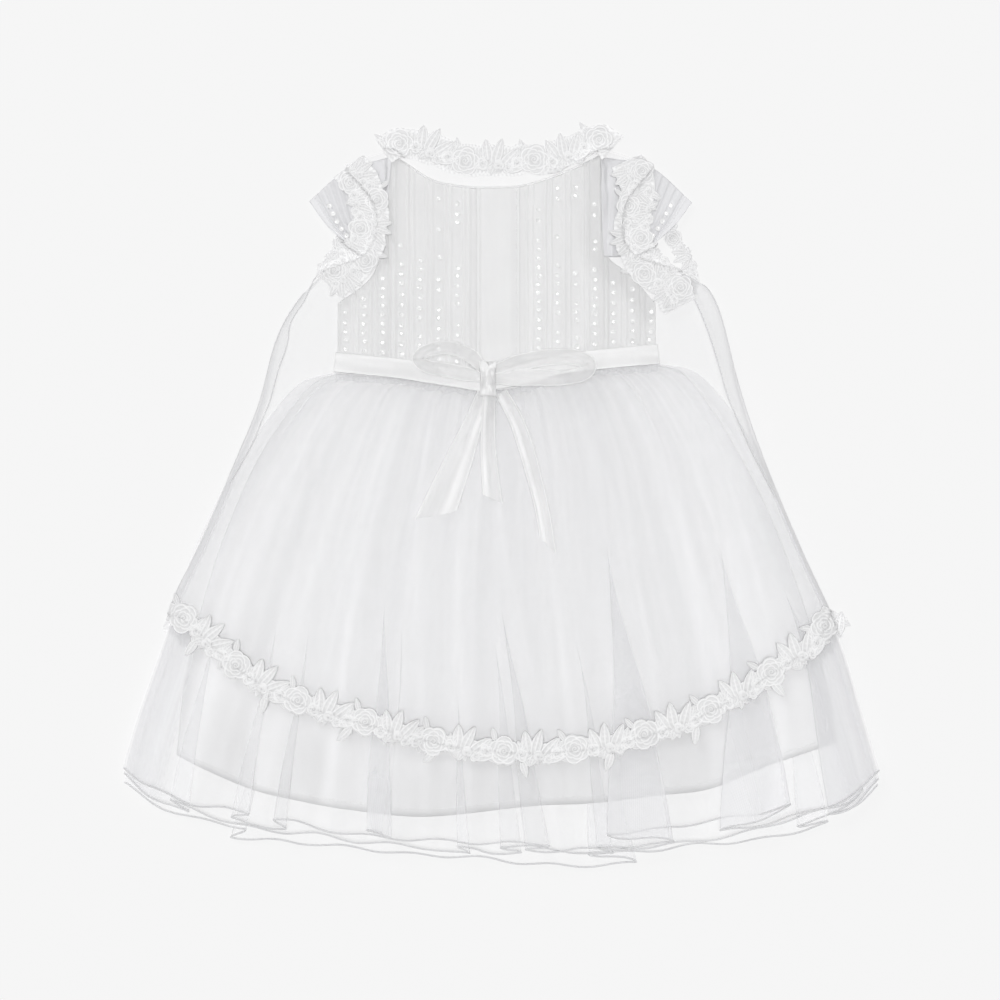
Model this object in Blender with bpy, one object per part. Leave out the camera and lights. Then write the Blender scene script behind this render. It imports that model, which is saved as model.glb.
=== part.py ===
"""A baby's tulle dress with a sheer overlay robe, laid flat on a table.

The dress lies on its far side: +Z is up from the table, +Y points to the neck and +X to the viewer's right.
Each panel is a thin closed wall. The panels are laid one on another, in the order in which they lie, on a
raster of heights that holds the top of everything laid so far.
"""
import math

import bmesh
import bpy
import numpy as np
from mathutils import Matrix

MM = 0.001

# Walls of cloth
SHEER_WALL = 1.0 * MM
NET_WALL = 1.0 * MM
SATIN_WALL = 1.1 * MM
BODICE_WALL = 1.2 * MM
RIBBON_WALL = 1.0 * MM
LACE_WALL = 1.2 * MM
SEAM_GAP = 0.3 * MM
LAY_GAP = 0.45 * MM

# Bodice
TUCK_PITCH = 9.6 * MM
TUCK_RISE = 0.9 * MM
TUCKS = 10
TUCK_START = 0.25
# Section of one tuck: share of the pitch and share of the rise, at its foot, its crest and its fold
TUCK_SECTION = [(0.0, 0), (0.62, 1), (0.72, 0)]
PLACKET_LEFT = -18 * MM
PLACKET_RIGHT = 15 * MM
PLACKET_TOP_GAP = 1 * MM
PLACKET_FOOT_GAP = 14 * MM
BACK_NECK_DROP = 6 * MM
BACK_NECK_HALF_WIDTH = 70 * MM
SLEEVE_TUCKS = 5
BACK_CUFF_REACH = 3 * MM

# Skirt
GATHER_RISE = 0.9 * MM
GATHER_REACH = 0.62
HEM_WAVES = 15
HEM_WAVE_RISE = 2.6 * MM
HEM_WAVE_DROP = 2.5 * MM
HEM_WAVE_LAG = 1.2
SKIRT_PUFF = 1.2 * MM
FOLDED_WIDTH = 540 * MM
FOLD_START = 0.35
LINING_INSET = 2 * MM
LINING_BACK_DROP = 4 * MM

# Sash
BELT_WIDTH = 15 * MM
TAIL_WIDE_WIDTHS = (10 * MM, 30 * MM)
TAIL_CENTRE_WIDTHS = (9 * MM, 13 * MM)
TAIL_RIGHT_WIDTHS = (9 * MM, 11 * MM)
LOOP_WIDTH = 13 * MM
LOOP_RISE = 2.5 * MM
LOOP_SECTIONS = 17
LOOP_SPREAD = 0.35
# Width of a loop's ribbon at the knot and the number of sections over which it opens out
LOOP_PINCH = 0.55
LOOP_OPENING = 4
KNOT_CROWN = 3 * MM

# Lace
ROSE_RADIUS = 12.5 * MM
LEAF_RADIUS = 11.0 * MM
BRIDGE_HALF_WIDTH = 6.5 * MM
ROSE_RISE = 1.8 * MM
LEAF_RISE = 0.8 * MM
MOTIF_PITCH = 30 * MM
LEAF_TIP_DROP = 8 * MM
LEAF_TIP_WIDTH = 12 * MM
LACE_STEP = 4.9 * MM
HUNG_LACE_STEP = 12 * MM
NECK_ROSE_RADIUS = 11 * MM
# Radius of a rose and of a leaf cluster of the narrow trims on the far side
NARROW_LACE = (7 * MM, 6 * MM)

# Outlines in millimetres on the table, each row a point (x, y) from the viewer's left to right or from top to bottom
NECKLINE = [(-83, 256), (-71, 249), (-52, 237), (-37, 233), (-18, 231), (0, 231), (15, 232), (34, 237), (57, 246),
            (78, 256)]
WAIST = [(-123, 91), (-75, 87), (-45, 83), (-12, 79), (10, 80), (45, 90), (75, 95), (118, 98)]
ARMHOLE_LEFT = [(-83, 256), (-84, 228), (-86, 198), (-96, 164), (-122, 143)]
ARMHOLE_RIGHT = [(78, 256), (77, 220), (78, 183), (98, 164), (117, 143)]

SKIRT_LEFT = [(-123, 91), (-150, 83), (-172, 59), (-192, 29), (-208, 3), (-232, -50), (-251, -110), (-270, -166),
              (-282, -209)]
SKIRT_RIGHT = [(118, 98), (150, 89), (184, 48), (201, 10), (225, -46), (254, -110), (270, -162), (284, -210)]
HEM = [(-282, -209), (-262, -224), (-232, -236), (-195, -246), (-150, -253), (-75, -262), (15, -266), (98, -265),
       (150, -258), (195, -250), (233, -240), (263, -230), (284, -210)]
LINING_LEFT = [(-146, 79), (-184, 25), (-215, -50), (-236, -130), (-244, -195)]
LINING_RIGHT = [(146, 84), (192, 10), (225, -70), (246, -140), (254, -186)]
LINING_HEM = [(-244, -195), (-223, -206), (-185, -222), (-147, -231), (-112, -237), (-55, -242), (25, -234),
              (68, -232), (121, -226), (158, -221), (201, -204), (254, -186)]

OVERLAY_TOP = [(-116, 247), (-84, 257), (-71, 248), (-52, 236), (-18, 230), (15, 231), (34, 236), (57, 245),
               (79, 257), (114, 247)]
OVERLAY_BACK_TOP = [(-116, 247), (-84, 258), (-67, 266), (-45, 260), (-20, 250), (0, 247), (25, 251), (48, 260),
                    (64, 264), (79, 258), (114, 247)]
OVERLAY_LEFT = [(-116, 247), (-92, 216), (-98, 180), (-136, 162), (-165, 123), (-181, 66), (-200, 20), (-223, -34),
                (-242, -72), (-249, -88)]
OVERLAY_RIGHT = [(114, 247), (92, 216), (97, 180), (143, 163), (163, 142), (179, 81), (194, 35), (225, -39),
                 (247, -86)]
OVERLAY_HEM = [(-249, -88), (-232, -95), (-195, -129), (-150, -155), (-86, -174), (-30, -188), (30, -192),
               (90, -184), (150, -164), (203, -132), (235, -109), (247, -86)]

SLEEVE_LEFT = {
    "seam": [(-84, 253), (-87, 220), (-91, 178)],
    "cuff": [(-143, 220), (-128, 200), (-111, 186)],
    "top": [(-84, 253), (-116, 243), (-143, 220)],
    "under": [(-91, 178), (-101, 180), (-111, 186)],
}
SLEEVE_RIGHT = {
    "seam": [(79, 253), (79, 215), (81, 178)],
    "cuff": [(144, 219), (130, 201), (113, 186)],
    "top": [(79, 253), (113, 246), (144, 219)],
    "under": [(81, 178), (96, 179), (113, 186)],
}

# Large folds of the nets: place across the waist, place across the hem (both 0 to 1), width at the hem, rise
FOLDS = [
    (0.05, 0.03, 30, 2.8), (0.11, 0.095, 12, 1.8), (0.17, 0.162, 12, 2.2), (0.235, 0.218, 10, 2.4),
    (0.35, 0.355, 32, 3.6), (0.43, 0.46, 16, 2.2), (0.50, 0.54, 24, 3.2), (0.57, 0.60, 16, 2.0),
    (0.63, 0.668, 40, 3.6), (0.72, 0.75, 16, 2.2), (0.80, 0.83, 40, 3.4), (0.88, 0.90, 18, 2.4),
    (0.95, 0.955, 44, 2.8),
]

BELT_LEFT = [(-124, 99), (-75, 94), (-45, 89), (-12, 84)]
BELT_RIGHT = [(-12, 84), (10, 88), (45, 97), (75, 101), (119, 105)]
SASH_RIGHT_START = (-12, 84.3)
TAIL_WIDE = [(-12, 76), (-22, 48), (-37, 10), (-51, -24)]
TAIL_CENTRE = [(-8, 76), (-9, 40), (-7, 10), (-5, -8)]
TAIL_RIGHT = [(1, 76), (15, 48), (30, -5), (37, -46)]
LOOP_LEFT = [(-14, 85), (-62, 103)]
LOOP_RIGHT = [(-6, 87), (68, 96)]
KNOT_CENTRE = (-9, 86)
KNOT_SIZE = (13, 26)

LACE_NECK = [(-93, 251), (-81, 262), (-67, 271), (-52, 265), (-30, 256), (-3, 250), (23, 254), (45, 261), (64, 268),
             (79, 263), (86, 252)]
LACE_ARM_LEFT = [(-114, 246), (-101, 228), (-97, 209), (-100, 190), (-111, 172), (-128, 156)]
LACE_ARM_RIGHT = [(95, 250), (104, 231), (102, 213), (99, 194), (108, 174), (126, 158), (135, 141)]
LACE_ARM_RIGHT_FAR = [(127, 201), (131, 190), (142, 172), (143, 150)]
LACE_ARM_LEFT_FAR = [(-116, 198), (-120, 186), (-127, 174), (-135, 166)]


def curve(rows, count):
    """Even steps along a smooth curve through the rows, which are points in millimetres."""
    points = np.array(rows, float) * MM
    ends = np.vstack([2 * points[0] - points[1], points, 2 * points[-1] - points[-2]])
    fine = []
    for before, start, end, after in zip(ends, ends[1:], ends[2:], ends[3:]):
        for t in np.linspace(0, 1, 16, endpoint=False):
            fine.append(0.5 * (2 * start + (end - before) * t + (2 * before - 5 * start + 4 * end - after) * t ** 2
                               + (3 * start - before - 3 * end + after) * t ** 3))
    fine = np.array(fine + [points[-1]])
    run = np.concatenate([[0], np.cumsum(np.linalg.norm(np.diff(fine, axis=0), axis=1))])
    steps = np.linspace(0, run[-1], count) if np.isscalar(count) else np.asarray(count) * run[-1]
    return np.column_stack([np.interp(steps, run, fine[:, axis]) for axis in (0, 1)])


def patch(top, bottom, left, right, rows, columns):
    """A grid of places between four edges that share their corners; rows run down, at the given shares."""
    across, down = np.linspace(0, 1, columns), rows
    top, bottom = curve(top, columns), curve(bottom, columns)
    left, right = curve(left, rows), curve(right, rows)
    u, v = across[None, :, None], down[:, None, None]
    ruled = (1 - v) * top[None] + v * bottom[None] + (1 - u) * left[:, None] + u * right[:, None]
    corners = (1 - v) * ((1 - u) * top[0] + u * top[-1]) + v * ((1 - u) * bottom[0] + u * bottom[-1])
    return ruled - corners


def even(count):
    return np.linspace(0, 1, count)


def from_waist(count):
    """Shares of the way down a skirt, closer together at its gathered waist."""
    return np.linspace(0, 1, count) ** 1.35


def shrink(plan, inset):
    """Draw a grid's two side edges in by the given distance, so that a seam stays open."""
    plan = plan.copy()
    for edge, inner in ((0, 1), (-1, -2)):
        way = plan[:, inner] - plan[:, edge]
        plan[:, edge] += way / np.linalg.norm(way, axis=1, keepdims=True) * inset
    return plan


def band(path, widths, columns, count):
    """A grid along a path: rows run along it and columns across it, from its right edge to its left."""
    centre = curve(path, count)
    along = np.gradient(centre, axis=0)
    along /= np.linalg.norm(along, axis=1, keepdims=True)
    side = np.column_stack([-along[:, 1], along[:, 0]])
    low, high = (np.broadcast_to(w, len(centre)) for w in widths)
    across = np.linspace(0, 1, columns)[None, :, None]
    return centre[:, None] + side[:, None] * (-low[:, None, None] * (1 - across) + high[:, None, None] * across)


# The four corners of each cell of a grid
CORNERS = [(row, column) for row in (slice(None, -1), slice(1, None)) for column in (slice(None, -1), slice(1, None))]


def mesh_samples(plan):
    """Shares of a grid cell's four corners at places spread over it, half a raster cell apart or less."""
    sides = [np.linalg.norm(np.diff(plan, axis=axis), axis=2).max() for axis in (0, 1)]
    steps = [np.linspace(0, 1, int(math.ceil(2 * side / Pile.CELL)) + 1) for side in sides]
    down, over = (part.ravel() for part in np.meshgrid(*steps, indexing="ij"))
    return np.array([(1 - down) * (1 - over), (1 - down) * over, down * (1 - over), down * over])


def spread(values, shares):
    """A grid's values read at the sampled places of each of its cells."""
    corners = np.array([values[row, column] for row, column in CORNERS])
    return np.tensordot(shares.T, corners, 1)


class Pile:
    """The top of everything laid so far, in cells of a square raster; a cell with nothing on it is below zero."""

    CELL = 1.5 * MM
    HALF = 330 * MM

    def __init__(self):
        cells = int(2 * self.HALF / self.CELL)
        self.top = np.full((cells, cells), -1.0)

    def read(self, places):
        """The lowest height that a cloth may have at each place, with the gap between two layers."""
        cells = ((places + self.HALF) / self.CELL).astype(int)
        found = self.top[cells[..., 0], cells[..., 1]]
        return np.where(found < 0, 0, found + LAY_GAP)

    def drape(self, plan, passes):
        """Heights of a grid laid on the pile: it bridges what lies below and touches only the highest of it."""
        shares = mesh_samples(plan)
        floor = self.read(spread(plan, shares))
        height = self.read(plan)
        for _ in range(passes):
            padded = np.pad(height, 1, mode="edge")
            mean = (padded[:-2, 1:-1] + padded[2:, 1:-1] + padded[1:-1, :-2] + padded[1:-1, 2:]) / 4
            height = 0.4 * height + 0.6 * mean
            short = np.clip(floor - spread(height, shares), 0, None)
            rise = np.zeros_like(height)
            for share, corner in zip(shares, CORNERS):
                needed = (short * (share / (shares ** 2).sum(axis=0))[:, None, None]).max(axis=0)
                np.maximum(rise[corner], needed, out=rise[corner])
            height = height + rise
        return height

    def add(self, plan, top):
        """Mark a piece's top, read finely between the points of its grid."""
        shares = mesh_samples(plan)
        cells = ((spread(plan, shares) + self.HALF) / self.CELL).astype(int)
        np.maximum.at(self.top, (cells[..., 0], cells[..., 1]), spread(top, shares))


def material(name, colour, roughness):
    made = bpy.data.materials.new(name)
    made.use_nodes = True
    shader = made.node_tree.nodes["Principled BSDF"]
    shader.inputs["Base Color"].default_value = (*colour, 1)
    shader.inputs["Roughness"].default_value = roughness
    shader.inputs["Metallic"].default_value = 0
    made.diffuse_color = (*colour, 1)
    return made


def solid_mesh(bm):
    """Turn a closed wall's faces outwards and hand it over as a mesh."""
    bmesh.ops.recalc_face_normals(bm, faces=bm.faces[:])
    if bm.calc_volume(signed=True) < 0:
        bmesh.ops.reverse_faces(bm, faces=bm.faces[:])
    mesh = bpy.data.meshes.new("cloth")
    bm.to_mesh(mesh)
    bm.free()
    return mesh


def link(name, mesh, finish):
    mesh.name = name
    made = bpy.data.objects.new(name, mesh)
    mesh.materials.append(finish)
    mesh.shade_smooth()
    mesh.set_sharp_from_angle(angle=math.radians(50))
    DRESS.objects.link(made)
    return made


def wall(name, plan, bottom, top, finish):
    """A closed wall of cloth between two heights over a grid of places."""
    rows, columns = plan.shape[:2]
    bm = bmesh.new()
    bmesh.ops.create_grid(bm, x_segments=columns - 1, y_segments=rows - 1, size=1)
    raised = bmesh.ops.extrude_face_region(bm, geom=bm.faces[:])["geom"]
    bmesh.ops.translate(bm, verts=[v for v in raised if isinstance(v, bmesh.types.BMVert)], vec=(0, 0, 1))
    for vert in bm.verts:
        column = round((vert.co.x + 1) / 2 * (columns - 1))
        row = round((1 - vert.co.y) / 2 * (rows - 1))
        height = top if vert.co.z > 0.5 else bottom
        vert.co = (*plan[row, column], height[row, column])
    return link(name, solid_mesh(bm), finish)


def lay(name, plan, thickness, finish, lift=0, relief=0, passes=6):
    """Lay a panel on the pile. lift raises both faces as folds do, relief raises the outer face only."""
    bottom = PILE.drape(plan, passes) + lift
    top = bottom + thickness + relief
    PILE.add(plan, top)
    return wall(name, plan, bottom, top, finish)


def ridge(distance, width):
    """A soft ridge: 1 at its crest and 0 from half its width on."""
    return np.where(np.abs(distance) < width / 2, 0.5 + 0.5 * np.cos(2 * np.pi * distance / width), 0)


def skirt_grid(rows, columns, drop, wave_phase):
    """The skirt's grid from waist to hem. Its hem is drop lower than the table's hem and runs in shallow scallops."""
    across, down = even(columns)[None, :], from_waist(rows)[:, None]
    plan = patch(WAIST, HEM, SKIRT_LEFT, SKIRT_RIGHT, down[:, 0], columns)
    scallop = HEM_WAVE_DROP * np.sin(2 * np.pi * HEM_WAVES * across + wave_phase)
    plan[..., 1] += down ** 4 * (scallop - drop)
    plan[0, :, 1] -= SEAM_GAP
    return plan, across, down


def skirt_net(name, rows, columns, drop, wave_phase, fold_share, gathered, finish):
    plan, across, down = skirt_grid(rows, columns, drop, wave_phase)
    lift = SKIRT_PUFF * np.sin(np.pi * np.clip(down * 1.1, 0, 1)) * np.sin(np.pi * across) ** 0.5
    scallop = 0.5 + 0.5 * np.sin(2 * np.pi * HEM_WAVES * across + wave_phase + HEM_WAVE_LAG)
    lift = lift + HEM_WAVE_RISE * fold_share * down ** 3 * scallop
    for at_waist, at_hem, wide, rise in FOLDS:
        centre = at_waist + (at_hem - at_waist) * down
        growth = np.clip(FOLD_START + down, 0, 1)
        fold = ridge((across - centre) * FOLDED_WIDTH, wide * MM * (2 * FOLD_START + down))
        lift = lift + fold_share * rise * MM * growth * fold
    if gathered:
        pleat = np.where(np.arange(columns) % 2, 1.0, 0.0)[None, :]
        lift = lift + GATHER_RISE * pleat * np.clip(1 - down / GATHER_REACH, 0, 1)
    return lay(name, plan, NET_WALL, finish, lift)


def lining(name, rows, columns, drop, finish):
    down = from_waist(rows)[:, None]
    sides = [WAIST[0], *LINING_LEFT], [WAIST[-1], *LINING_RIGHT]
    plan = patch(WAIST, LINING_HEM, *sides, down[:, 0], columns)
    plan[..., 1] -= down ** 3 * drop
    plan[0, :, 1] -= 2 * SEAM_GAP
    across = even(columns)[None, :]
    lift = SKIRT_PUFF * np.sin(np.pi * down) * np.sin(np.pi * across) ** 0.5 + 0 * plan[..., 0]
    return lay(name, shrink(plan, LINING_INSET), SATIN_WALL, finish, lift)


def tuck_columns():
    """Places and rises of the bodice's columns: those of each tuck, on both sides of the plain band."""
    xs, rises = [], []
    for start, way in ((PLACKET_LEFT, -1), (PLACKET_RIGHT, 1)):
        for tuck in range(TUCKS):
            for share, rise in TUCK_SECTION:
                xs.append(start + way * TUCK_PITCH * (tuck + TUCK_START + share))
                rises.append(rise * TUCK_RISE)
    return np.array(xs), np.array(rises)


def edge_height(x, *outlines):
    """The height on the table of an outline at the given places across."""
    points = np.vstack([curve(outline, 40) for outline in outlines])
    order = np.argsort(points[:, 0], kind="stable")
    return np.interp(x, points[order, 0], points[order, 1])


def bodice_plan(xs, rows):
    top = edge_height(xs, ARMHOLE_LEFT[::-1], NECKLINE, ARMHOLE_RIGHT)
    bottom = edge_height(xs, WAIST) + SEAM_GAP
    down = np.linspace(0, 1, rows)[:, None]
    return np.dstack([xs[None, :] + 0 * down, top * (1 - down) + bottom * down])


def bodice_far(finish):
    xs = np.linspace(ARMHOLE_LEFT[-1][0] * MM, ARMHOLE_RIGHT[-1][0] * MM, 20)
    plan = bodice_plan(xs, 6)
    plan[0, :, 1] -= BACK_NECK_DROP * np.clip(1 - (xs / BACK_NECK_HALF_WIDTH) ** 2, 0, 1)
    return lay("bodice_far", plan, BODICE_WALL, finish)


def bodice_near(finish):
    inner, rises = tuck_columns()
    armholes = ARMHOLE_LEFT[-1][0], ARMHOLE_LEFT[0][0] - 0.5, ARMHOLE_RIGHT[0][0] + 0.5, ARMHOLE_RIGHT[-1][0]
    edges = np.array(armholes) * MM
    within = (inner > edges[0] + MM) & (inner < edges[-1] - MM)
    xs = np.concatenate([inner[within], edges])
    relief = np.concatenate([rises[within], np.zeros(len(edges))])
    order = np.argsort(xs)
    rows = 6
    return lay("bodice_near", bodice_plan(xs[order], rows), BODICE_WALL, finish,
               relief=relief[order] + np.zeros((rows, 1)))


def placket(finish):
    xs = np.linspace(PLACKET_LEFT, PLACKET_RIGHT, 5)
    plan = bodice_plan(xs, 8)
    plan[0, :, 1] -= PLACKET_TOP_GAP
    plan[-1, :, 1] += PLACKET_FOOT_GAP
    return lay("placket", plan, BODICE_WALL, finish, passes=1)


def sleeve(name, edges, finish, near):
    """Half of a cap sleeve. The near half has tucks beside its cuff, the far half reaches out below it."""
    rows, columns = 7, 2 * SLEEVE_TUCKS + 3 if near else 9
    plan = patch(edges["top"], edges["under"], edges["seam"], edges["cuff"], even(rows), columns)
    plan[..., 0] += np.sign(edges["cuff"][0][0]) * SEAM_GAP
    relief = np.zeros((rows, columns))
    if near:
        relief[:, 1:2 * SLEEVE_TUCKS:2] = TUCK_RISE
    else:
        way = plan[:, -1] - plan[:, -2]
        plan[:, -1] += way / np.linalg.norm(way, axis=1, keepdims=True) * BACK_CUFF_REACH
    return lay(name, plan, BODICE_WALL, finish, relief=relief)


def ribbon_lay(name, path, widths, count, finish):
    """A ribbon along a path, with its widths at the start and at the end."""
    half = np.linspace(widths[0] / 2, widths[1] / 2, count)
    return lay(name, band(path, (half, half), 3, count), RIBBON_WALL, finish, passes=3)


def loop(name, ends, finish):
    """A bow loop: the ribbon runs out from the knot, turns up at the far end and comes back above itself."""
    start, end = (np.array(point) * MM for point in ends)
    length = np.linalg.norm(end - start)
    along = (end - start) / length
    side = np.array([-along[1], along[0], 0])
    reach = start + along * length * np.linspace(0, 1, 40)[:, None]
    base = PILE.read(reach[:, None] + side[:2] * np.linspace(-1, 1, 9)[None, :, None] * LOOP_WIDTH).max()
    last = LOOP_SECTIONS - 1
    sections = []
    for step in range(LOOP_SECTIONS):
        angle = math.pi * (step / last * 2 - 1)
        out = 0.5 + 0.5 * math.cos(angle)
        rise = math.sin(angle) * LOOP_RISE * out ** 0.5 if 0 < out < 1 else 0
        aside = LOOP_SPREAD * math.sin(angle) * LOOP_WIDTH
        centre = np.append(start + along * length * out ** 0.8, base + LOOP_RISE + RIBBON_WALL / 2 + rise)
        centre[:2] += side[:2] * aside
        sections.append(centre)
    sections = np.array(sections)
    sections[0, 2] -= RIBBON_WALL
    sections[-1, 2] += RIBBON_WALL
    way = np.gradient(sections, axis=0)
    way -= np.outer(way @ side, side)
    normal = np.cross(way, side)
    normal /= np.linalg.norm(normal, axis=1, keepdims=True)
    half = LOOP_WIDTH / 2 * np.interp(np.arange(LOOP_SECTIONS), (0, LOOP_OPENING, last - LOOP_OPENING, last),
                                      (LOOP_PINCH, 1, 1, LOOP_PINCH))
    bm = bmesh.new()
    rings = []
    for centre, up, wide in zip(sections, normal, half):
        ring = [bm.verts.new(centre + side * wide * s + up * RIBBON_WALL / 2 * u)
                for s, u in ((-1, -1), (1, -1), (1, 1), (-1, 1))]
        rings.append(ring)
    for one, two in zip(rings, rings[1:]):
        for k in range(4):
            bm.faces.new((one[k], one[(k + 1) % 4], two[(k + 1) % 4], two[k]))
    bm.faces.new(rings[0])
    bm.faces.new(rings[-1])
    plan = sections[:, None, :2] + side[:2] * np.array([-1, 1])[None, :, None] * half[:, None, None]
    PILE.add(plan, np.repeat(sections[:, 2:] + RIBBON_WALL, 2, axis=1))
    return link(name, solid_mesh(bm), finish)


def knot(finish):
    x, y = np.array(KNOT_CENTRE) * MM
    wide, tall = np.array(KNOT_SIZE) * MM
    across, down = np.linspace(-0.5, 0.5, 6)[None, :], np.linspace(0.5, -0.5, 8)[:, None]
    plan = np.dstack([x + wide * across * (0.8 + 0.8 * down ** 2), y + tall * down + 0 * across])
    crown = KNOT_CROWN * np.cos(np.pi * across) * np.cos(np.pi * down * 0.8)
    return lay("bow_knot", plan, RIBBON_WALL, finish, relief=crown + 0 * plan[..., 0], passes=2)


def lace(name, path, finish, step=LACE_STEP, rose=ROSE_RADIUS, leaf=LEAF_RADIUS, lines=5, raised=1.0, first=0,
         hung=False):
    """A guipure trim along a path: roses and leaf clusters by turns, with leaf tips hanging between them.

    A hung trim starts at the path, the panel's edge, and lies wholly outside it.
    """
    length = np.linalg.norm(np.diff(curve(path, 200), axis=0), axis=1).sum()
    motifs = max(2, round(length / MOTIF_PITCH))
    pitch = length / motifs
    count = int(length / step) + 1
    run = np.linspace(0, length, count)
    upper, lower = (np.full(count, BRIDGE_HALF_WIDTH) for _ in range(2))
    height = np.zeros((count, lines))
    across = np.linspace(-1, 1, lines)[None, :]
    for motif in range(motifs):
        is_rose = (motif + first) % 2 == 0
        radius = rose if is_rose else leaf
        offset = run - (motif + 0.5) * pitch
        dome = np.sqrt(np.clip(radius ** 2 - offset ** 2, 0, None))
        upper, lower = np.maximum(upper, dome), np.maximum(lower, dome)
        tip = ridge(offset - pitch / 2, LEAF_TIP_WIDTH)
        lower = np.maximum(lower, (BRIDGE_HALF_WIDTH + LEAF_TIP_DROP) * tip)
        middle = np.clip(1 - (offset[:, None] / radius) ** 2 - across ** 2 * 0.85, 0, 1)
        height = np.maximum(height, (ROSE_RISE if is_rose else LEAF_RISE) * raised * middle ** 0.5)
    if hung:
        upper = np.full(count, -SEAM_GAP)
    plan = band(path, (lower, upper), lines, count)
    return lay(name, plan, LACE_WALL, finish, relief=height, passes=2)


def build():
    sheer = material("sheer organza", (0.90, 0.90, 0.90), 0.45)
    net = material("soft tulle", (0.88, 0.88, 0.88), 0.75)
    satin = material("lining satin", (0.87, 0.87, 0.87), 0.40)
    crepe = material("tucked bodice cloth", (0.88, 0.88, 0.88), 0.60)
    ribbon = material("organza ribbon", (0.90, 0.90, 0.90), 0.35)
    guipure = material("guipure lace", (0.84, 0.84, 0.84), 0.70)

    narrow_rose, narrow_leaf = NARROW_LACE
    over_sides = OVERLAY_HEM, OVERLAY_LEFT, OVERLAY_RIGHT
    lay("overlay_far", patch(OVERLAY_BACK_TOP, *over_sides, even(13), 15), SHEER_WALL, sheer)
    lace("lace_hem_far", OVERLAY_HEM, guipure, step=HUNG_LACE_STEP, lines=3, raised=0, hung=True)
    for side, path in (("right", LACE_ARM_RIGHT_FAR), ("left", LACE_ARM_LEFT_FAR)):
        lace(f"lace_armhole_{side}_far", path, guipure, rose=narrow_rose, leaf=narrow_leaf, lines=3, raised=0.6)
    sleeve("sleeve_left_far", SLEEVE_LEFT, crepe, near=False)
    sleeve("sleeve_right_far", SLEEVE_RIGHT, crepe, near=False)
    belt = BELT_WIDTH, BELT_WIDTH
    ribbon_lay("sash_far", [*BELT_LEFT[:-1], *BELT_RIGHT[2:]], belt, 14, ribbon)
    bodice_far(crepe)
    skirt_net("skirt_far", 7, 37, 5 * MM, 0.4, 0.0, False, net)
    lining("petticoat_far", 6, 16, LINING_BACK_DROP, satin)
    bodice_near(crepe)
    placket(crepe)
    lining("petticoat_near", 6, 18, 0, satin)
    skirt_net("skirt_inner", 7, 43, 1 * MM, 2.2, 0.35, False, net)
    skirt_net("skirt_outer", 7, 97, -5 * MM, 3.9, 1.0, True, net)
    sleeve("sleeve_left_near", SLEEVE_LEFT, crepe, near=True)
    sleeve("sleeve_right_near", SLEEVE_RIGHT, crepe, near=True)
    ribbon_lay("sash_left", BELT_LEFT, belt, 9, ribbon)
    ribbon_lay("sash_right", [SASH_RIGHT_START, *BELT_RIGHT[1:]], belt, 10, ribbon)
    ribbon_lay("bow_tail_wide", TAIL_WIDE, TAIL_WIDE_WIDTHS, 9, ribbon)
    ribbon_lay("bow_tail_centre", TAIL_CENTRE, TAIL_CENTRE_WIDTHS, 8, ribbon)
    ribbon_lay("bow_tail_right", TAIL_RIGHT, TAIL_RIGHT_WIDTHS, 11, ribbon)
    loop("bow_loop_left", LOOP_LEFT, ribbon)
    loop("bow_loop_right", LOOP_RIGHT, ribbon)
    knot(ribbon)
    lay("overlay_near", patch(OVERLAY_TOP, *over_sides, even(21), 20), SHEER_WALL, sheer)
    lace("lace_hem_near", OVERLAY_HEM, guipure)
    lace("lace_armhole_left", LACE_ARM_LEFT, guipure, first=1)
    lace("lace_armhole_right", LACE_ARM_RIGHT, guipure, first=1)
    lace("lace_neck", LACE_NECK, guipure, rose=NECK_ROSE_RADIUS)


def centre(objects):
    """Move all meshes so that the middle of the part's box is over the origin."""
    places = np.array([vert.co for piece in objects for vert in piece.data.vertices])
    low, high = places.min(axis=0), places.max(axis=0)
    shift = (*(-(low + high) / 2)[:2], -low[2])
    for piece in objects:
        piece.data.transform(Matrix.Translation(shift))


for old in list(bpy.data.objects):
    bpy.data.objects.remove(old)
DRESS = bpy.data.collections.new("tulle_dress")
bpy.context.scene.collection.children.link(DRESS)
PILE = Pile()
build()
centre(DRESS.objects)
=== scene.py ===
"""The looks of a baby's tulle dress laid flat under a camera: overlay, tucked bodice, tulle skirt and bow."""

import itertools
import math

import bmesh
import bpy
import numpy as np
from bpy.props import EnumProperty, FloatProperty, FloatVectorProperty, PointerProperty
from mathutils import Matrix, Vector
from mathutils.bvhtree import BVHTree


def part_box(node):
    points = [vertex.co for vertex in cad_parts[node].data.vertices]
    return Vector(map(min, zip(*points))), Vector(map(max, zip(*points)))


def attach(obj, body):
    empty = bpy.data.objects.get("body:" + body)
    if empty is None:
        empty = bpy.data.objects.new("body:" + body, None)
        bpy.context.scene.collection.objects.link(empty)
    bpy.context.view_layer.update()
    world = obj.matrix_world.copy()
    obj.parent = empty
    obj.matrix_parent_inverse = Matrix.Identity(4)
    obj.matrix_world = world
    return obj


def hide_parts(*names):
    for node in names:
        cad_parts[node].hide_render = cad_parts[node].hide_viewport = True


bl_info = {
    "name": "Flat-laid tulle dress",
    "version": (1, 0, 0),
    "blender": (4, 5, 0),
    "location": "3D View > Sidebar > Dress",
    "description": "Builds the cloth, lace, ribbon and sequins of a flat-laid tulle dress",
    "category": "Add Mesh",
}

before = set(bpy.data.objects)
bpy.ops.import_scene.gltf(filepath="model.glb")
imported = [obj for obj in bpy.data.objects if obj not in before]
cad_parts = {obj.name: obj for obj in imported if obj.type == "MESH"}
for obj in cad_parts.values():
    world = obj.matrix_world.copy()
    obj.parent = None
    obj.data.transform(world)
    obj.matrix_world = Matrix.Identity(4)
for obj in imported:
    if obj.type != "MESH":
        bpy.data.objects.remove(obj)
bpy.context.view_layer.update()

MM = 0.001

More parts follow.
